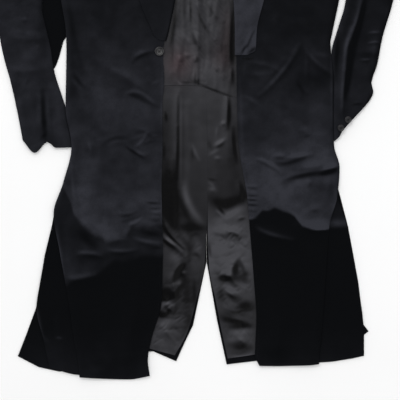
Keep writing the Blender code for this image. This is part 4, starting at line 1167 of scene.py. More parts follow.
def cloth(name, grid, wall, tones, finish):
    """A shell of cloth whose upper face is a grid of points, with tones riding on it."""
    rows, columns = grid.shape[:2]
    places = to_world(grid.reshape(-1, 3))
    number = np.arange(rows * columns).reshape(rows, columns)
    corners = [number[:-1, :-1], number[1:, :-1], number[1:, 1:], number[:-1, 1:]]
    faces = np.stack([corner.ravel() for corner in corners], axis=-1)
    middle = len(faces) // 2
    first, second, third = (places[faces[middle, k]] for k in range(3))
    facing_up = np.cross(second - first, third - first)[2]
    if facing_up < 0:
        faces = faces[:, ::-1]
    mesh = bpy.data.meshes.new(name)
    mesh.from_pydata(places.tolist(), [], faces.tolist())
    mesh.shade_smooth()
    for label, values in tones.items():
        layer = mesh.attributes.new(label, "FLOAT", "POINT")
        layer.data.foreach_set("value", values.ravel().astype(np.float32))
    across = np.concatenate(
        [np.zeros((rows, 1)), np.cumsum(np.linalg.norm(np.diff(grid, axis=1), axis=2), axis=1)], axis=1
    )
    along = np.concatenate(
        [np.zeros((1, columns)), np.cumsum(np.linalg.norm(np.diff(grid, axis=0), axis=2), axis=0)], axis=0
    )
    weave = mesh.uv_layers.new(name="weave")
    flat = np.stack([across.ravel() * MM, along.ravel() * MM], axis=-1)
    weave.data.foreach_set("uv", flat[faces.ravel()].ravel().astype(np.float32))
    obj = link(name, mesh, finish)
    solid = obj.modifiers.new("Wall", "SOLIDIFY")
    solid.thickness = wall * MM
    solid.offset = -1
    solid.use_even_offset = True
    apply_modifier(obj, solid)
    round_rim(obj, 2 * len(faces), 0.3 * wall)
    return obj


def level_cloth(name, outline, low, wall, tone, label, finish):
    """A piece of cloth that lies level, cut to an outline, with rounded edges."""
    curve = bpy.data.curves.new(name, "CURVE")
    curve.dimensions = "2D"
    curve.fill_mode = "BOTH"
    curve.extrude = wall * MM / 2
    places = to_world([(x, y, 0.0) for x, y in outline])
    line = curve.splines.new("POLY")
    line.points.add(len(places) - 1)
    for point, place in zip(line.points, places):
        point.co = (place[0], place[1], 0, 1)
    line.use_cyclic_u = True
    drawn = bpy.data.objects.new(name + "_pattern", curve)
    bpy.context.scene.collection.objects.link(drawn)
    drawn.location.z = (low + wall / 2) * MM
    bpy.context.view_layer.update()
    mesh = bpy.data.meshes.new_from_object(drawn.evaluated_get(bpy.context.evaluated_depsgraph_get()))
    mesh.transform(drawn.matrix_world)
    bpy.data.objects.remove(drawn)
    shape = bmesh.new()
    shape.from_mesh(mesh)
    bmesh.ops.remove_doubles(shape, verts=shape.verts, dist=0.00005)
    bmesh.ops.dissolve_limit(shape, angle_limit=0.01, verts=shape.verts, edges=shape.edges)
    cuts = 14 * MM
    low_corner = [min(v.co[axis] for v in shape.verts) for axis in range(2)]
    high_corner = [max(v.co[axis] for v in shape.verts) for axis in range(2)]
    for axis, normal in enumerate(((1, 0, 0), (0, 1, 0))):
        place = low_corner[axis] + cuts
        while place < high_corner[axis] - 1 * MM:
            where = Vector((place, 0, 0)) if axis == 0 else Vector((0, place, 0))
            geometry = list(shape.verts) + list(shape.edges) + list(shape.faces)
            bmesh.ops.bisect_plane(shape, geom=geometry, plane_co=where, plane_no=normal)
            place += cuts
    shape.normal_update()
    shape.to_mesh(mesh)
    shape.free()
    mesh.name = name
    mesh.shade_smooth()
    mesh.materials.clear()
    layer = mesh.attributes.new(label, "FLOAT", "POINT")
    places = np.array([v.co for v in mesh.vertices]) / MM + np.array([MIDDLE_X, MIDDLE_Y, 0.0])
    values = shown(laid_tone(tone, places[:, 0], places[:, 1]))
    layer.data.foreach_set("value", values.astype(np.float32))
    obj = link(name, mesh, finish)
    bevel = obj.modifiers.new("Folded edge", "BEVEL")
    bevel.limit_method = "ANGLE"
    bevel.angle_limit = math.radians(60)
    bevel.width = 0.3 * wall * MM
    bevel.segments = 2
    apply_modifier(obj, bevel)
    make_active(obj)
    bpy.ops.object.shade_smooth_by_angle(angle=math.radians(40))
    return obj


# Finishes


def add(tree, kind, settings=None, inputs=None):
    """Adds a node. An input that is given a socket is linked to it, any other is set."""
    node = tree.nodes.new(kind)
    for name, value in (settings or {}).items():
        setattr(node, name, value)
    for name, value in (inputs or {}).items():
        if isinstance(value, bpy.types.NodeSocket):
            tree.links.new(value, node.inputs[name])
        else:
            node.inputs[name].default_value = value
    return node


def new_finish(name):
    """An empty material with its output, and the shader that goes in it."""
    finish = bpy.data.materials.new(name)
    finish.use_nodes = True
    tree = finish.node_tree
    tree.nodes.clear()
    shader = add(tree, "ShaderNodeBsdfPrincipled")
    add(tree, "ShaderNodeOutputMaterial", inputs={"Surface": shader.outputs["BSDF"]})
    return finish, tree, shader


def velvet_finish(settings):
    """Black cotton velvet: a pile that drinks light, paler where it is brushed up, with painted highlights and
    shade on its folds and creases.
    """
    finish, tree, shader = new_finish("cotton_velvet")
    place = add(tree, "ShaderNodeTexCoord").outputs["Object"]
    tones_and_painted_light = add(tree, "ShaderNodeAttribute", {"attribute_name": "tones_and_painted_light"}).outputs["Fac"]
    # Finger marks in the pile, about 30 mm across
    marks = add(tree, "ShaderNodeTexNoise", inputs={"Vector": place, "Scale": 1 / 0.03, "Detail": 4})
    # Single tufts are under 1 mm, so they are drawn 2 mm apart to show
    tufts = add(tree, "ShaderNodeTexNoise", inputs={"Vector": place, "Scale": 1 / 0.002, "Detail": 2})
    marked = add(tree, "ShaderNodeMapRange", inputs={
        "Value": marks.outputs["Fac"], "From Min": 0.3, "From Max": 0.7, "To Min": 0.72, "To Max": 1.28,
    })
    tufted = add(tree, "ShaderNodeMapRange", inputs={
        "Value": tufts.outputs["Fac"], "From Min": 0.3, "From Max": 0.7, "To Min": 0.85, "To Max": 1.15,
    })
    first = add(tree, "ShaderNodeMath", {"operation": "MULTIPLY"}, {0: tones_and_painted_light, 1: marked.outputs["Result"]})
    both = add(tree, "ShaderNodeMath", {"operation": "MULTIPLY"},
               {0: first.outputs[0], 1: tufted.outputs["Result"]})
    # The velvet's colour follows the nap, and the painted highlights and shade of its folds and creases
    colour = add(tree, "ShaderNodeMix", {"data_type": "RGBA"}, {
        0: both.outputs[0], 6: (*settings.velvet_deep, 1), 7: (*settings.velvet_brushed, 1),
    })
    bump = add(tree, "ShaderNodeBump", inputs={
        "Strength": 0.25, "Distance": 0.0004, "Height": tufts.outputs["Fac"],
    })
    tree.links.new(colour.outputs[2], shader.inputs["Base Color"])
    tree.links.new(bump.outputs["Normal"], shader.inputs["Normal"])
    shader.inputs["Roughness"].default_value = 0.95
    shader.inputs["Specular IOR Level"].default_value = 0.03
    shader.inputs["Sheen Weight"].default_value = 0.06
    shader.inputs["Sheen Roughness"].default_value = 0.35
    shader.inputs["Sheen Tint"].default_value = (*linear("#b9bed0"), 1)
    return finish


def satin_finish(settings):
    """Black acetate satin: smooth floats that shine softly and break at every crease."""
    finish, tree, shader = new_finish("acetate_satin")
    painted_shine_and_shade = add(tree, "ShaderNodeAttribute", {"attribute_name": "painted_shine_and_shade"}).outputs["Fac"]
    warm = add(tree, "ShaderNodeAttribute", {"attribute_name": "warm"}).outputs["Fac"]
    weave = add(tree, "ShaderNodeUVMap", {"uv_map": "weave"}).outputs["UV"]
    # The base colour goes from shaded to lit satin by the painted shine, which holds painted highlights and
    # painted shade
    lit = add(tree, "ShaderNodeMix", {"data_type": "RGBA"}, {
        0: painted_shine_and_shade, 6: (*settings.satin_dark, 1), 7: (*settings.satin_light, 1),
    })
    cast = add(tree, "ShaderNodeMix", {"data_type": "RGBA", "blend_type": "MULTIPLY"}, {
        0: warm, 6: lit.outputs[2], 7: (*linear("#ffdcdc"), 1),
    })
    # Threads are 0.1 mm apart, too fine to show, so their rib is drawn at 0.8 mm
    ribs = add(tree, "ShaderNodeTexWave", {"bands_direction": "Y"}, {
        "Vector": weave, "Scale": 1 / 0.0008 / 20, "Distortion": 1.5, "Detail": 1,
    })
    # Press marks, about 7 mm long across the cloth and 3 mm down it
    stretched = add(tree, "ShaderNodeMapping", inputs={"Vector": weave, "Scale": (1 / 0.007, 1 / 0.012, 1)})
    marks = add(tree, "ShaderNodeTexNoise", inputs={
        "Vector": stretched.outputs["Vector"], "Scale": 1.0, "Detail": 3,
    })
    fine = add(tree, "ShaderNodeBump", inputs={
        "Strength": 0.1, "Distance": 0.0001, "Height": ribs.outputs["Fac"],
    })
    bump = add(tree, "ShaderNodeBump", inputs={
        "Strength": 0.35, "Distance": 0.001, "Height": marks.outputs["Fac"], "Normal": fine.outputs["Normal"],
    })
    tree.links.new(cast.outputs[2], shader.inputs["Base Color"])
    tree.links.new(bump.outputs["Normal"], shader.inputs["Normal"])
    shader.inputs["Roughness"].default_value = 0.3
    shader.inputs["Specular IOR Level"].default_value = 0.06
    return finish


def button_finish(settings):
    """Black moulded casein: hard, glossy and faintly clouded."""
    finish, tree, shader = new_finish("moulded_casein")
    place = add(tree, "ShaderNodeTexCoord").outputs["Object"]
    clouds = add(tree, "ShaderNodeTexNoise", inputs={"Vector": place, "Scale": 1 / 0.006, "Detail": 3})
    colour = add(tree, "ShaderNodeMix", {"data_type": "RGBA"}, {
        0: clouds.outputs["Fac"], 6: (*settings.button_colour, 1), 7: (*linear("#17171a"), 1),
    })
    worn = add(tree, "ShaderNodeMapRange", inputs={
        "Value": clouds.outputs["Fac"], "To Min": 0.12, "To Max": 0.3,
    })
    tree.links.new(colour.outputs[2], shader.inputs["Base Color"])
    tree.links.new(worn.outputs["Result"], shader.inputs["Roughness"])
    shader.inputs["IOR"].default_value = 1.54
    shader.inputs["Specular IOR Level"].default_value = 0.28
    return finish


def thread_finish(settings):
    """Black silk thread: a fine twisted cord with a dull shine."""
    finish, tree, shader = new_finish("silk_thread")
    place = add(tree, "ShaderNodeTexCoord").outputs["Object"]
    # The twist of a 0.4 mm thread, drawn at 1 mm to show
    twist = add(tree, "ShaderNodeTexWave", {"bands_direction": "DIAGONAL"}, {
        "Vector": place, "Scale": 1 / 0.001 / 20, "Distortion": 0.5,
    })
    colour = add(tree, "ShaderNodeMix", {"data_type": "RGBA"}, {
        0: twist.outputs["Fac"], 6: (*linear("#08080a"), 1), 7: (*settings.thread_colour, 1),
    })
    bump = add(tree, "ShaderNodeBump", inputs={
        "Strength": 0.4, "Distance": 0.0001, "Height": twist.outputs["Fac"],
    })
    tree.links.new(colour.outputs[2], shader.inputs["Base Color"])
    tree.links.new(bump.outputs["Normal"], shader.inputs["Normal"])
    shader.inputs["Roughness"].default_value = 0.6
    shader.inputs["Specular IOR Level"].default_value = 0.15
    return finish


def floor_finish(settings):
    """Matt white paper backdrop, faintly uneven in tone."""
    finish, tree, shader = new_finish("paper_backdrop")
    place = add(tree, "ShaderNodeTexCoord").outputs["Object"]
    fibres = add(tree, "ShaderNodeTexNoise", inputs={"Vector": place, "Scale": 3.0, "Detail": 2})
    colour = add(tree, "ShaderNodeMix", {"data_type": "RGBA"}, {
        0: fibres.outputs["Fac"], 6: (*settings.floor_colour, 1), 7: (*linear("#fbfbfb"), 1),
    })
    tree.links.new(colour.outputs[2], shader.inputs["Base Color"])
    shader.inputs["Roughness"].default_value = 0.9
    shader.inputs["Specular IOR Level"].default_value = 0.1
    return finish


FINISHES = {
    "cotton_velvet": velvet_finish,
    "acetate_satin": satin_finish,
    "moulded_casein": button_finish,
    "silk_thread": thread_finish,
    "paper_backdrop": floor_finish,
}


def finish_named(name):
    """A finish, made from the settings the first time that it is asked for."""
    found = bpy.data.materials.get(name)
    return found or FINISHES[name](bpy.context.scene.frock_coat)


# The cut of each piece laid out flat: its width, length and area, in metres
Cut = namedtuple("Cut", "width length area")


def stand_for(piece, node):
    """Puts a piece of cloth in the place of its solid."""
    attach(piece, "root")
    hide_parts(node)


# The panels, shared by the pieces that are made from each other


# The fronts' troughs stay above the lining beneath
FRONT_LOWEST = 6.8


def make_front(rows, folds, hem):
    return Panel(
        rows, folds, roll_b=SIDE_ROLL, roll_start=SHOULDER_ROLL, end=hem, rough=VELVET_ROUGH,
        lowest=FRONT_LOWEST,
    )


FRONTS = {
    "left": make_front(
        FRONT_LEFT_ROWS, FRONT_LEFT_FOLDS + raised(FRONT_LEFT_CREASES), FRONT_LEFT_HEM
    ),
    "right": make_front(
        FRONT_RIGHT_ROWS, FRONT_RIGHT_FOLDS + raised(FRONT_RIGHT_CREASES), FRONT_RIGHT_HEM
    ),
}


def edge_line(edge, start, end, step):
    """Points along a panel's edge from one station to another."""
    count = max(1, round(abs(end - start) / step))
    x, y = edge(np.linspace(start, end, count + 1))
    return list(zip(x.tolist(), y.tolist()))


def moved_out(points, distance):
    """A line of points moved square to itself, to the left of its run for a plus distance."""
    moved = []
    for k, (x, y) in enumerate(points):
        ax, ay = points[max(k - 1, 0)]
        bx, by = points[min(k + 1, len(points) - 1)]
        size = math.hypot(bx - ax, by - ay)
        moved.append((x - (by - ay) / size * distance, y + (bx - ax) / size * distance))
    return moved


def armhole(front, side):
    """A function for the armhole, from shoulder tip to underarm, just outside the front."""
    last = float(front.station_of_b(UNDERARM_Y + 0.5))
    line = moved_out(edge_line(front.edge_b, 0, last, 10), side * CLOTH_GAP)
    shares = np.linspace(0, 1, len(line))

    def read(u):
        return through([x for x, _ in line], shares, u), through([y for _, y in line], shares, u)

    return read


def body_side(front, side):
    """A function that keeps a sleeve's inner edge just outside the body's side."""

    def read(x, y):
        edge_x = front.edge_b(front.station_of_b(y))[0] + side * CLOTH_GAP
        kept = side * np.maximum(side * x, side * edge_x)
        return np.where(np.asarray(y) > UNDERARM_Y - 12, x, kept)

    return read


def make_sleeve(rows, folds, cuff, front, side):
    sleeve = Panel(
        rows, folds, roll_a=SLEEVE_ROLL, roll_b=SLEEVE_ROLL, end=cuff, reach=60, rough=SLEEVE_ROUGH
    )
    sleeve.head = armhole(front, side)
    sleeve.beside = body_side(front, side)
    return sleeve


SLEEVES = {
    "left": make_sleeve(
        SLEEVE_LEFT_ROWS, SLEEVE_LEFT_FOLDS + raised(SLEEVE_LEFT_CREASES), SLEEVE_LEFT_CUFF,
        FRONTS["left"], -1,
    ),
    "right": make_sleeve(
        SLEEVE_RIGHT_ROWS, SLEEVE_RIGHT_FOLDS + raised(SLEEVE_RIGHT_CREASES), SLEEVE_RIGHT_CUFF,
        FRONTS["right"], 1,
    ),
}


def back_outline(front, flare_from, flare, hem, vent, seam, side):
    """A back panel: neck and shoulder, armhole and side under the front, flare, hem, vent."""
    side_line = edge_line(front.edge_b, 0, float(front.station_of_b(flare_from)), 10)
    neck = [(side * abs(x), y) for x, y in BACK_NECK]
    neck[0] = (side * GAP / 2, BACK_NECK[0][1])
    seam = [(x + side * GAP / 2, y) for x, y in seam]
    return neck + side_line + flare + hem + vent + seam[:-1]


def under_sleeve_outline(sleeve, inner_line, front, side):
    """The lower half of a sleeve: the top half's outline, with its own inner edge."""
    head = [tuple(float(v) for v in sleeve.head(k / 20)) for k in range(1, 21)]
    beside = []
    if inner_line:
        first = float(front.station_of_b(UNDERARM_Y - 4))
        last = float(front.station_of_b(UNDER_LEAVES_BODY))
        beside = moved_out(edge_line(front.edge_b, first, last, 15), side * CLOTH_GAP)
    lowest = inner_line[-1][1] if inner_line else UNDERARM_Y - 3
    start = float(sleeve.station_of_b(lowest))
    inner = edge_line(sleeve.edge_b, start, sleeve.length, 10)[1:-1]
    cuff = [tuple(float(v) for v in sleeve.plan(1 - k / 12, sleeve.length)) for k in range(13)]
    outer = edge_line(sleeve.edge_a, sleeve.length, 0, 30)[1:]
    return head + beside + list(inner_line) + inner + cuff + outer


def lapel_grid(front, rows, side):
    """A lapel turned back from the roll edge, made from the front's own upper face."""
    stations = [float(front.station_of_a(row.y)) for row in rows]
    widths = [row.width for row in rows]
    along = np.arange(len(rows))
    shares = [row.across for row in GORGE]
    dips = [row.reach for row in GORGE]
    lift = LAPEL_GAP + VELVET
    count, columns = 120, 34
    t = (len(rows) - 1) * np.arange(count + 1) / count
    place, width = through(stations, along, t), through(widths, along, t)
    near_gorge = ease((t - (len(rows) - 2.2)) / 1.2)
    edge_x, edge_y, edge_z = front.point(np.zeros(t.shape), place)
    lines = []
    for turn in (0.0, 0.2, 0.4, 0.6, 0.8):
        angle = math.radians(90 * turn)
        lines.append(np.stack([
            edge_x - side * (lift + GAP) * math.cos(angle),
            edge_y,
            edge_z + lift * math.sin(angle) - (1.4 if turn == 0.0 else 0.0),
        ], axis=-1))
    share = np.linspace(0, 1, columns)[None, :]
    dip = through(dips, shares, share)
    s = place[:, None] - dip * near_gorge[:, None]
    u = share * width[:, None] / front.width(s)
    x, y, z = front.point(u, s)
    face = np.stack([x, y, z + lift], axis=-1)
    return np.concatenate([np.stack(lines, axis=1), face], axis=1)


def collar_grid():
    """The collar: it stands from the neck seam, folds over and falls outward."""
    mirrored = [
        row._replace(fold_x=-row.fold_x, edge_x=-row.edge_x) for row in reversed(COLLAR_ROWS[:-1])
    ]
    rows = COLLAR_ROWS + mirrored
    stand_low = COLLAR_STAND_LOW + COLLAR_STAND_LOW[-2::-1]
    along = np.arange(len(rows))
    count = 150
    t = (len(rows) - 1) * np.arange(count + 1) / count
    row = {
        name: through([getattr(r, name) for r in rows], along, t)[:, None] for name in CollarRow._fields
    }
    low = through(stand_low, along, t)[:, None]
    dx, dy = row["edge_x"] - row["fold_x"], row["edge_y"] - row["fold_y"]
    width = np.hypot(dx, dy)
    steps = np.array([0.0, 0.05, 0.5, 1.2, 2.2, 3.6, 5.6, COLLAR_ROLL])
    even = np.arange(1, 19) / 18
    place = np.concatenate(
        [np.repeat(steps[None, :], count + 1, axis=0), COLLAR_ROLL + (width - COLLAR_ROLL) * even], axis=1
    )
    share = place / width
    fall = row["fold_top"] + (row["edge_top"] - row["fold_top"]) * ease(share)
    height = low + (fall - low) * roll(place / COLLAR_ROLL)
    return np.stack([row["fold_x"] + dx * share, row["fold_y"] + dy * share, height], axis=-1)


def velvet_piece(node, grid, tones_and_painted_light):
    piece = cloth("velvet_" + node, grid, VELVET, {"tones_and_painted_light": cloth_tone(tones_and_painted_light, grid)}, finish_named("cotton_velvet"))
    stand_for(piece, node)
    return piece


def satin_piece(node, grid, painted_shine_and_shade):
    tones = {
        "painted_shine_and_shade": cloth_tone(painted_shine_and_shade, grid),
        "warm": np.clip(patch_sum(WARM_PATCHES, grid[..., 0], grid[..., 1]), 0, 1),
    }
    piece = cloth("satin_" + node, grid, SATIN, tones, finish_named("acetate_satin"))
    stand_for(piece, node)
    return piece


class COAT_OT_backs(bpy.types.Operator):
    """Lay the two back panels, which the rest of the coat lies on"""

    bl_idname = "coat.backs"
    bl_label = "Backs"

    def execute(self, context):
        outlines = {
            "back_left": back_outline(
                FRONTS["left"], FLARE_FROM_LEFT, BACK_LEFT_FLARE, BACK_LEFT_HEM, BACK_LEFT_VENT,
                CENTRE_SEAM, -1,
            ),
            "back_right": back_outline(
                FRONTS["right"], FLARE_FROM_RIGHT, BACK_RIGHT_FLARE, BACK_RIGHT_HEM,
                BACK_RIGHT_VENT, CENTRE_SEAM, 1,
            ),
        }
        for node, outline in outlines.items():
            piece = level_cloth(
                "velvet_" + node, outline, 0, VELVET, NAP_DEEP, "tones_and_painted_light", finish_named("cotton_velvet")
            )
            stand_for(piece, node)
        return {"FINISHED"}


class COAT_OT_pleats(bpy.types.Operator):
    """Lay the skirt pleat at each side, between the back and the front"""

    bl_idname = "coat.pleats"
    bl_label = "Skirt pleats"

    def execute(self, context):
        left = Panel(PLEAT_LEFT_ROWS, raised(PLEAT_LEFT_CREASES), end=PLEAT_LEFT_HEM, rough=PLEAT_ROUGH)
        right = Panel(PLEAT_RIGHT_ROWS, end=PLEAT_RIGHT_HEM, rough=PLEAT_ROUGH)
        velvet_piece("pleat_left", grid_points(left, 4.0), NAP_AND_PAINTED_LIGHT_PLEAT_LEFT)
        velvet_piece("pleat_right", grid_points(right, 4.0), NAP_AND_PAINTED_LIGHT_PLEAT_RIGHT)
        return {"FINISHED"}


# How far the lining lies under the fronts, and where its two skirts part for the vent
UNDER_SKIRT_FRONT = 20
UNDER_CHEST_FRONT = 28
VENT_FROM = -440
VENT_REACH = 24
CENTRE_GAP = 1.2


def meets_at_centre(side):
    """A function that brings a skirt lining's centre edge to the other's, above the vent."""

    def read(x, y):
        above = ease((np.asarray(y, float) - (VENT_FROM - VENT_REACH)) / VENT_REACH)
        return x + side * (CENTRE_GAP / 2 - 0.05) * above

    return read


class COAT_OT_lining(bpy.types.Operator):
    """Lay the creased satin lining of the back body and of the back skirts"""

    bl_idname = "coat.lining"
    bl_label = "Satin lining"

    def execute(self, context):
        left = Panel(
            SKIRT_LINING_LEFT_ROWS, SKIRT_LINING_LEFT_FOLDS + raised(SKIRT_LEFT_CREASES),
            rough=SATIN_LOW_ROUGH, cover=(UNDER_SKIRT_FRONT, 0),
        )
        right = Panel(
            SKIRT_LINING_RIGHT_ROWS, SKIRT_LINING_RIGHT_FOLDS + raised(SKIRT_RIGHT_CREASES),
            rough=SATIN_LOW_ROUGH, cover=(UNDER_SKIRT_FRONT, 0),
        )
        left.beside = meets_at_centre(1)
        right.beside = meets_at_centre(-1)
        bodice = Panel(
            BODICE_ROWS, BODICE_FOLDS + raised(BODICE_CREASES), start=BODICE_NECK, end=BODICE_SEAM,
            reach=30, rough=SATIN_ROUGH, cover=(UNDER_CHEST_FRONT, UNDER_CHEST_FRONT),
        )
        satin_piece("lining_skirt_left", grid_points(left, 2.0), PAINTED_SHINE_SKIRT_LEFT)
        satin_piece("lining_skirt_right", grid_points(right, 2.0), PAINTED_SHINE_SKIRT_RIGHT)
        satin_piece("lining_bodice", grid_points(bodice, 1.9), PAINTED_SHINE_BODICE)
        return {"FINISHED"}


class COAT_OT_fronts(bpy.types.Operator):
    """Lay the two fronts, shoulder to hem, with their worn folds and brushed nap"""

    bl_idname = "coat.fronts"
    bl_label = "Fronts"

    def execute(self, context):
        velvet_piece("front_left", grid_points(FRONTS["left"], 2.7), NAP_AND_PAINTED_LIGHT_FRONT_LEFT)
        velvet_piece("front_right", grid_points(FRONTS["right"], 2.7), NAP_AND_PAINTED_LIGHT_FRONT_RIGHT)
        return {"FINISHED"}


class COAT_OT_sleeves(bpy.types.Operator):
    """Lay the top and under halves of both sleeves"""

    bl_idname = "coat.sleeves"
    bl_label = "Sleeves"

    def execute(self, context):
        for hand, side, inner, tones_and_painted_light in (
            ("left", -1, SLEEVE_LEFT_UNDER, NAP_AND_PAINTED_LIGHT_SLEEVE_LEFT),
            ("right", 1, [], NAP_AND_PAINTED_LIGHT_SLEEVE_RIGHT),
        ):
            under = f"sleeve_{hand}_under"
            outline = under_sleeve_outline(SLEEVES[hand], inner, FRONTS[hand], side)
            piece = level_cloth(
                "velvet_" + under, outline, 0, VELVET, NAP_DEEP, "tones_and_painted_light", finish_named("cotton_velvet")
            )
            stand_for(piece, under)
            velvet_piece(f"sleeve_{hand}_top", grid_points(SLEEVES[hand], 2.4), tones_and_painted_light)
        return {"FINISHED"}


class COAT_OT_lapels(bpy.types.Operator):
    """Turn back the two lapels"""

    bl_idname = "coat.lapels"
    bl_label = "Lapels"

    def execute(self, context):
        left = lapel_grid(FRONTS["left"], LAPEL_LEFT_ROWS, -1)
        right = lapel_grid(FRONTS["right"], LAPEL_RIGHT_ROWS, 1)
        velvet_piece("lapel_left", left, NAP_AND_PAINTED_LIGHT_LAPEL_LEFT)
        velvet_piece("lapel_right", right, NAP_AND_PAINTED_LIGHT_LAPEL_RIGHT)
        return {"FINISHED"}


class COAT_OT_collar(bpy.types.Operator):
    """Stand and turn down the collar"""

    bl_idname = "coat.collar"
    bl_label = "Collar"

    def execute(self, context):
        velvet_piece("collar", collar_grid(), NAP_AND_PAINTED_LIGHT_COLLAR)
        return {"FINISHED"}


def select_faces(obj, wanted):
    """Selects the faces of the edited mesh for which wanted says yes."""
    shape = bmesh.from_edit_mesh(obj.data)
    for face in shape.faces:
        face.select_set(bool(wanted(face)))
    bmesh.update_edit_mesh(obj.data)


def sewn_button(node):
    """A moulded button with a raised rim and four holes, where its solid is."""
    low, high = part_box(node)
    centre = (low + high) / 2
    radius = (high.x - low.x) / 2
    thick = (high.z - low.z) * 0.62
    seat = high.z - thick
    deselect()
    bpy.ops.mesh.primitive_cylinder_add(
        vertices=64, radius=radius, depth=thick, location=(centre.x, centre.y, seat + thick / 2)
    )
    obj = bpy.context.active_object
    obj.name = "casein_" + node
    bpy.ops.object.mode_set(mode="EDIT")
    bpy.ops.mesh.select_mode(type="FACE")
    select_faces(obj, lambda face: face.normal.z > 0.9)
    bpy.ops.mesh.inset(thickness=radius * 0.2)
    bpy.ops.mesh.inset(thickness=radius * 0.14)
    bpy.ops.transform.translate(value=(0, 0, -thick * 0.24))
    bpy.ops.mesh.inset(thickness=radius * 0.3)
    bpy.ops.object.mode_set(mode="OBJECT")
    bpy.ops.object.transform_apply(location=True, rotation=True, scale=True)
    soft = obj.modifiers.new("Moulded edge", "BEVEL")
    soft.width = radius * 0.07
    soft.segments = 3
    soft.limit_method = "ANGLE"
    soft.angle_limit = math.radians(25)
    apply_modifier(obj, soft)
    for k in range(4):
        angle = math.radians(45 + 90 * k)
        where = (centre.x + radius * 0.24 * math.cos(angle), centre.y + radius * 0.24 * math.sin(angle), seat)
        deselect()
        bpy.ops.mesh.primitive_cylinder_add(vertices=20, radius=radius * 0.09, depth=thick * 4, location=where)
        drill = bpy.context.active_object
        bored = obj.modifiers.new("Hole", "BOOLEAN")
        bored.object = drill
        bored.operation = "DIFFERENCE"
        apply_modifier(obj, bored)
        bpy.data.objects.remove(drill)
    make_active(obj)
    bpy.ops.object.shade_smooth_by_angle(angle=math.radians(35))
    obj.data.materials.append(finish_named("moulded_casein"))
    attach(obj, "root")
    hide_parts(node)
    button_thread(node, centre, radius, seat, thick)


def button_thread(node, centre, radius, seat, thick):
    """The crossed thread through a button's holes."""
    reach = radius * 0.24 * math.cos(math.radians(45))
    lines = []
    for sx, sy in ((1, 1), (1, -1)):
        top = seat + thick * 0.92
        lines.append([
            (centre.x - sx * reach, centre.y - sy * reach, seat - 0.2 * MM),
            (centre.x - sx * reach, centre.y - sy * reach, top),
            (centre.x, centre.y, top + 0.35 * MM),
            (centre.x + sx * reach, centre.y + sy * reach, top),
            (centre.x + sx * reach, centre.y + sy * reach, seat - 0.2 * MM),
        ])
    threads = thread_lines("thread_" + node, lines, 0.4 * MM)
    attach(threads, "root")


def thread_lines(name, lines, thickness):
    """Threads along lines of points, as one mesh."""
    curve = bpy.data.curves.new(name, "CURVE")
    curve.dimensions = "3D"
    curve.bevel_depth = thickness / 2
    curve.bevel_resolution = 1
    curve.use_fill_caps = True
    for line in lines:
        thread = curve.splines.new("POLY")
        thread.points.add(len(line) - 1)
        for point, place in zip(thread.points, line):
            point.co = (*place, 1)
    drawn = bpy.data.objects.new(name + "_path", curve)
    bpy.context.scene.collection.objects.link(drawn)
    bpy.context.view_layer.update()
    mesh = bpy.data.meshes.new_from_object(drawn.evaluated_get(bpy.context.evaluated_depsgraph_get()))
    bpy.data.objects.remove(drawn)
    shape = bmesh.new()
    shape.from_mesh(mesh)
    bmesh.ops.remove_doubles(shape, verts=shape.verts, dist=0.000001)
    bmesh.ops.recalc_face_normals(shape, faces=shape.faces)
    shape.to_mesh(mesh)
    shape.free()
    mesh.name = name
    mesh.materials.clear()
    mesh.shade_smooth()
    return link(name, mesh, finish_named("silk_thread"))


class COAT_OT_buttons(bpy.types.Operator):
    """Sew on the waist button and the two cuff buttons that show"""

    bl_idname = "coat.buttons"
    bl_label = "Buttons"

    def execute(self, context):
        for node in ("front_button", "cuff_button_1", "cuff_button_2"):
            sewn_button(node)
        return {"FINISHED"}


# The buttonhole on the right front, and the rows of stitches
BUTTONHOLE_Y = -16
BUTTONHOLE_INSET = 14
BUTTONHOLE_LENGTH = 22
STITCH = 0.45


def on_panel(panel, u, s, above):
    """A place on a panel's upper face in the coat's frame, lifted by above in millimetres."""
    x, y, z = panel.point(np.asarray(u, float), np.asarray(s, float))
    return to_world(np.stack([x, y, z + above], axis=-1))


def buttonhole():
    """A hand-worked buttonhole: a slit with stitches laid close together round it."""
    front = FRONTS["right"]
    s = float(front.station_of_a(BUTTONHOLE_Y))
    width = float(front.width(s))
    lines = []
    count = 26
    for k in range(count):
        along = BUTTONHOLE_INSET + BUTTONHOLE_LENGTH * k / (count - 1)
        for side in (-1, 1):
            inner = on_panel(front, along / width, s + side * 0.3, 0.15)
            outer = on_panel(front, along / width, s + side * 2.6, 0.15)
            middle = (inner + outer) / 2 + np.array([0, 0, 0.3 * MM])
            lines.append([inner, middle, outer])
    threads = thread_lines("thread_buttonhole", lines, STITCH * 1.4 * MM)
    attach(threads, "root")


def stitch_row(name, panel, inset, start, end, pitch, length):
    """A row of prick stitches beside edge a of a panel."""
    lines = []
    s = start
    while s < end:
        u0 = inset / float(panel.width(s))
        u1 = inset / float(panel.width(s + length))
        a, b = on_panel(panel, u0, s, 0.0), on_panel(panel, u1, s + length, 0.0)
        middle = (a + b) / 2 + np.array([0, 0, 0.35 * MM])
        lines.append([a, middle, b])
        s += pitch
    threads = thread_lines(name, lines, STITCH * MM)
    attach(threads, "root")


class COAT_OT_sewing(bpy.types.Operator):
    """Work the buttonhole and the prick stitches beside the front edges"""

    bl_idname = "coat.sewing"
    bl_label = "Sewing"

    def execute(self, context):
        buttonhole()
        for hand in ("left", "right"):
            front = FRONTS[hand]
            start = float(front.station_of_a(0 if hand == "left" else -40))
            stitch_row("thread_edge_" + hand, front, 6.0, start, front.length - 12, 7.0, 2.4)
        return {"FINISHED"}


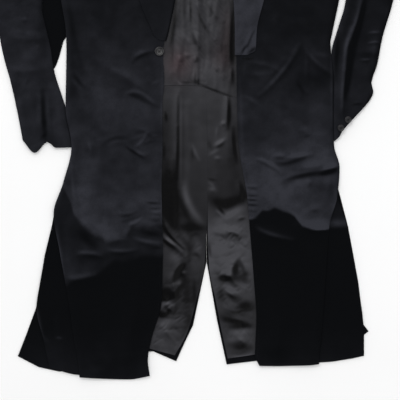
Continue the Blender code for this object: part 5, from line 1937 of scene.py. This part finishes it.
class COAT_OT_stage(bpy.types.Operator):
    """Set the white floor, the soft studio light and the camera straight above"""

    bl_idname = "coat.stage"
    bl_label = "Stage"

    def execute(self, context):
        scene = context.scene
        deselect()
        bpy.ops.mesh.primitive_plane_add(size=9.0, location=(0, 0, -0.0004))
        floor = context.active_object
        floor.name = "floor"
        bpy.ops.object.transform_apply(location=True, rotation=True, scale=True)
        floor.data.materials.append(finish_named("paper_backdrop"))
        soft_light("window_light", (-0.5, 1.15, 2.6), 1.6, 27.0)
        soft_light("fill_light", (0.9, -1.1, 2.6), 2.0, 14.0)
        studio_air(scene)
        camera = bpy.data.cameras.new("camera")
        camera.sensor_width = SENSOR
        camera.lens = SENSOR * CAMERA_HEIGHT / VIEW_WIDTH
        stand = bpy.data.objects.new("camera", camera)
        scene.collection.objects.link(stand)
        x, y, _ = to_world([CAMERA_X, CAMERA_Y, 0])
        stand.location = (x, y, CAMERA_HEIGHT)
        scene.camera = stand
        scene.view_settings.view_transform = "Standard"
        return {"FINISHED"}


def soft_light(name, place, size, power):
    """A square studio light that faces the middle of the coat."""
    lamp = bpy.data.lights.new(name, "AREA")
    lamp.size = size
    lamp.energy = power
    stand = bpy.data.objects.new(name, lamp)
    bpy.context.scene.collection.objects.link(stand)
    stand.location = place
    aim = Vector((0, -0.15, 0)) - Vector(place)
    stand.rotation_euler = aim.to_track_quat("-Z", "Y").to_euler()


def studio_air(scene):
    """Pale walls all round, dimmer overhead and brightest toward the collar."""
    air = bpy.data.worlds.new("studio")
    scene.world = air
    air.use_nodes = True
    tree = air.node_tree
    tree.nodes.clear()
    way = add(tree, "ShaderNodeTexCoord").outputs["Generated"]
    parts = add(tree, "ShaderNodeSeparateXYZ", inputs={0: way})
    up = add(tree, "ShaderNodeMapRange", inputs={
        "Value": parts.outputs["Z"], "From Min": -0.1, "From Max": 1.0, "To Min": 0.92, "To Max": 0.66,
    })
    toward = add(tree, "ShaderNodeMapRange", inputs={
        "Value": parts.outputs["Y"], "From Min": -0.4, "From Max": 0.9, "To Min": 0.75, "To Max": 1.2,
    })
    strength = add(tree, "ShaderNodeMath", {"operation": "MULTIPLY"},
                   {0: up.outputs["Result"], 1: toward.outputs["Result"]})
    glow = add(tree, "ShaderNodeBackground", inputs={
        "Color": (0.995, 0.997, 1.0, 1), "Strength": strength.outputs[0],
    })
    add(tree, "ShaderNodeOutputWorld", inputs={"Surface": glow.outputs["Background"]})


class CoatSettings(bpy.types.PropertyGroup):
    """The colours that a user would change"""

    velvet_deep: bpy.props.FloatVectorProperty(
        name="Velvet smoothed down", description="Colour of the velvet where its nap lies flat",
        subtype="COLOR", size=3, min=0, max=1, default=linear("#090a0c"),
    )
    velvet_brushed: bpy.props.FloatVectorProperty(
        name="Velvet brushed up", description="Colour of the velvet where its nap is brushed up",
        subtype="COLOR", size=3, min=0, max=1, default=linear("#303137"),
    )
    satin_dark: bpy.props.FloatVectorProperty(
        name="Satin in shade", description="Colour of the lining where it turns from the light",
        subtype="COLOR", size=3, min=0, max=1, default=linear("#050506"),
    )
    satin_light: bpy.props.FloatVectorProperty(
        name="Satin in light", description="Colour of the lining where it faces the light",
        subtype="COLOR", size=3, min=0, max=1, default=linear("#414145"),
    )
    button_colour: bpy.props.FloatVectorProperty(
        name="Buttons", description="Colour of the buttons",
        subtype="COLOR", size=3, min=0, max=1, default=linear("#0c0c0e"),
    )
    thread_colour: bpy.props.FloatVectorProperty(
        name="Thread", description="Colour of the sewing thread",
        subtype="COLOR", size=3, min=0, max=1, default=linear("#151518"),
    )
    floor_colour: bpy.props.FloatVectorProperty(
        name="Floor", description="Colour of the paper that the coat lies on",
        subtype="COLOR", size=3, min=0, max=1, default=linear("#f6f6f6"),
    )


STEPS = (
    COAT_OT_stage, COAT_OT_backs, COAT_OT_pleats, COAT_OT_lining, COAT_OT_fronts,
    COAT_OT_sleeves, COAT_OT_lapels, COAT_OT_collar, COAT_OT_buttons, COAT_OT_sewing,
)


class COAT_PT_sidebar(bpy.types.Panel):
    """The coat's colours and its steps"""

    bl_label = "Frock coat"
    bl_idname = "COAT_PT_sidebar"
    bl_space_type = "VIEW_3D"
    bl_region_type = "UI"
    bl_category = "Frock coat"

    def draw(self, context):
        for name in CoatSettings.__annotations__:
            self.layout.prop(context.scene.frock_coat, name)
        for step in STEPS:
            self.layout.operator(step.bl_idname)


CLASSES = (CoatSettings, *STEPS, COAT_PT_sidebar)


def register():
    for kind in CLASSES:
        bpy.utils.register_class(kind)
    bpy.types.Scene.frock_coat = bpy.props.PointerProperty(type=CoatSettings)


def unregister():
    del bpy.types.Scene.frock_coat
    for kind in reversed(CLASSES):
        bpy.utils.unregister_class(kind)


def main():
    register()
    bpy.ops.coat.stage()
    bpy.ops.coat.backs()
    bpy.ops.coat.pleats()
    bpy.ops.coat.lining()
    bpy.ops.coat.fronts()
    bpy.ops.coat.sleeves()
    bpy.ops.coat.lapels()
    bpy.ops.coat.collar()
    bpy.ops.coat.buttons()
    bpy.ops.coat.sewing()


if __name__ == "__main__":
    main()
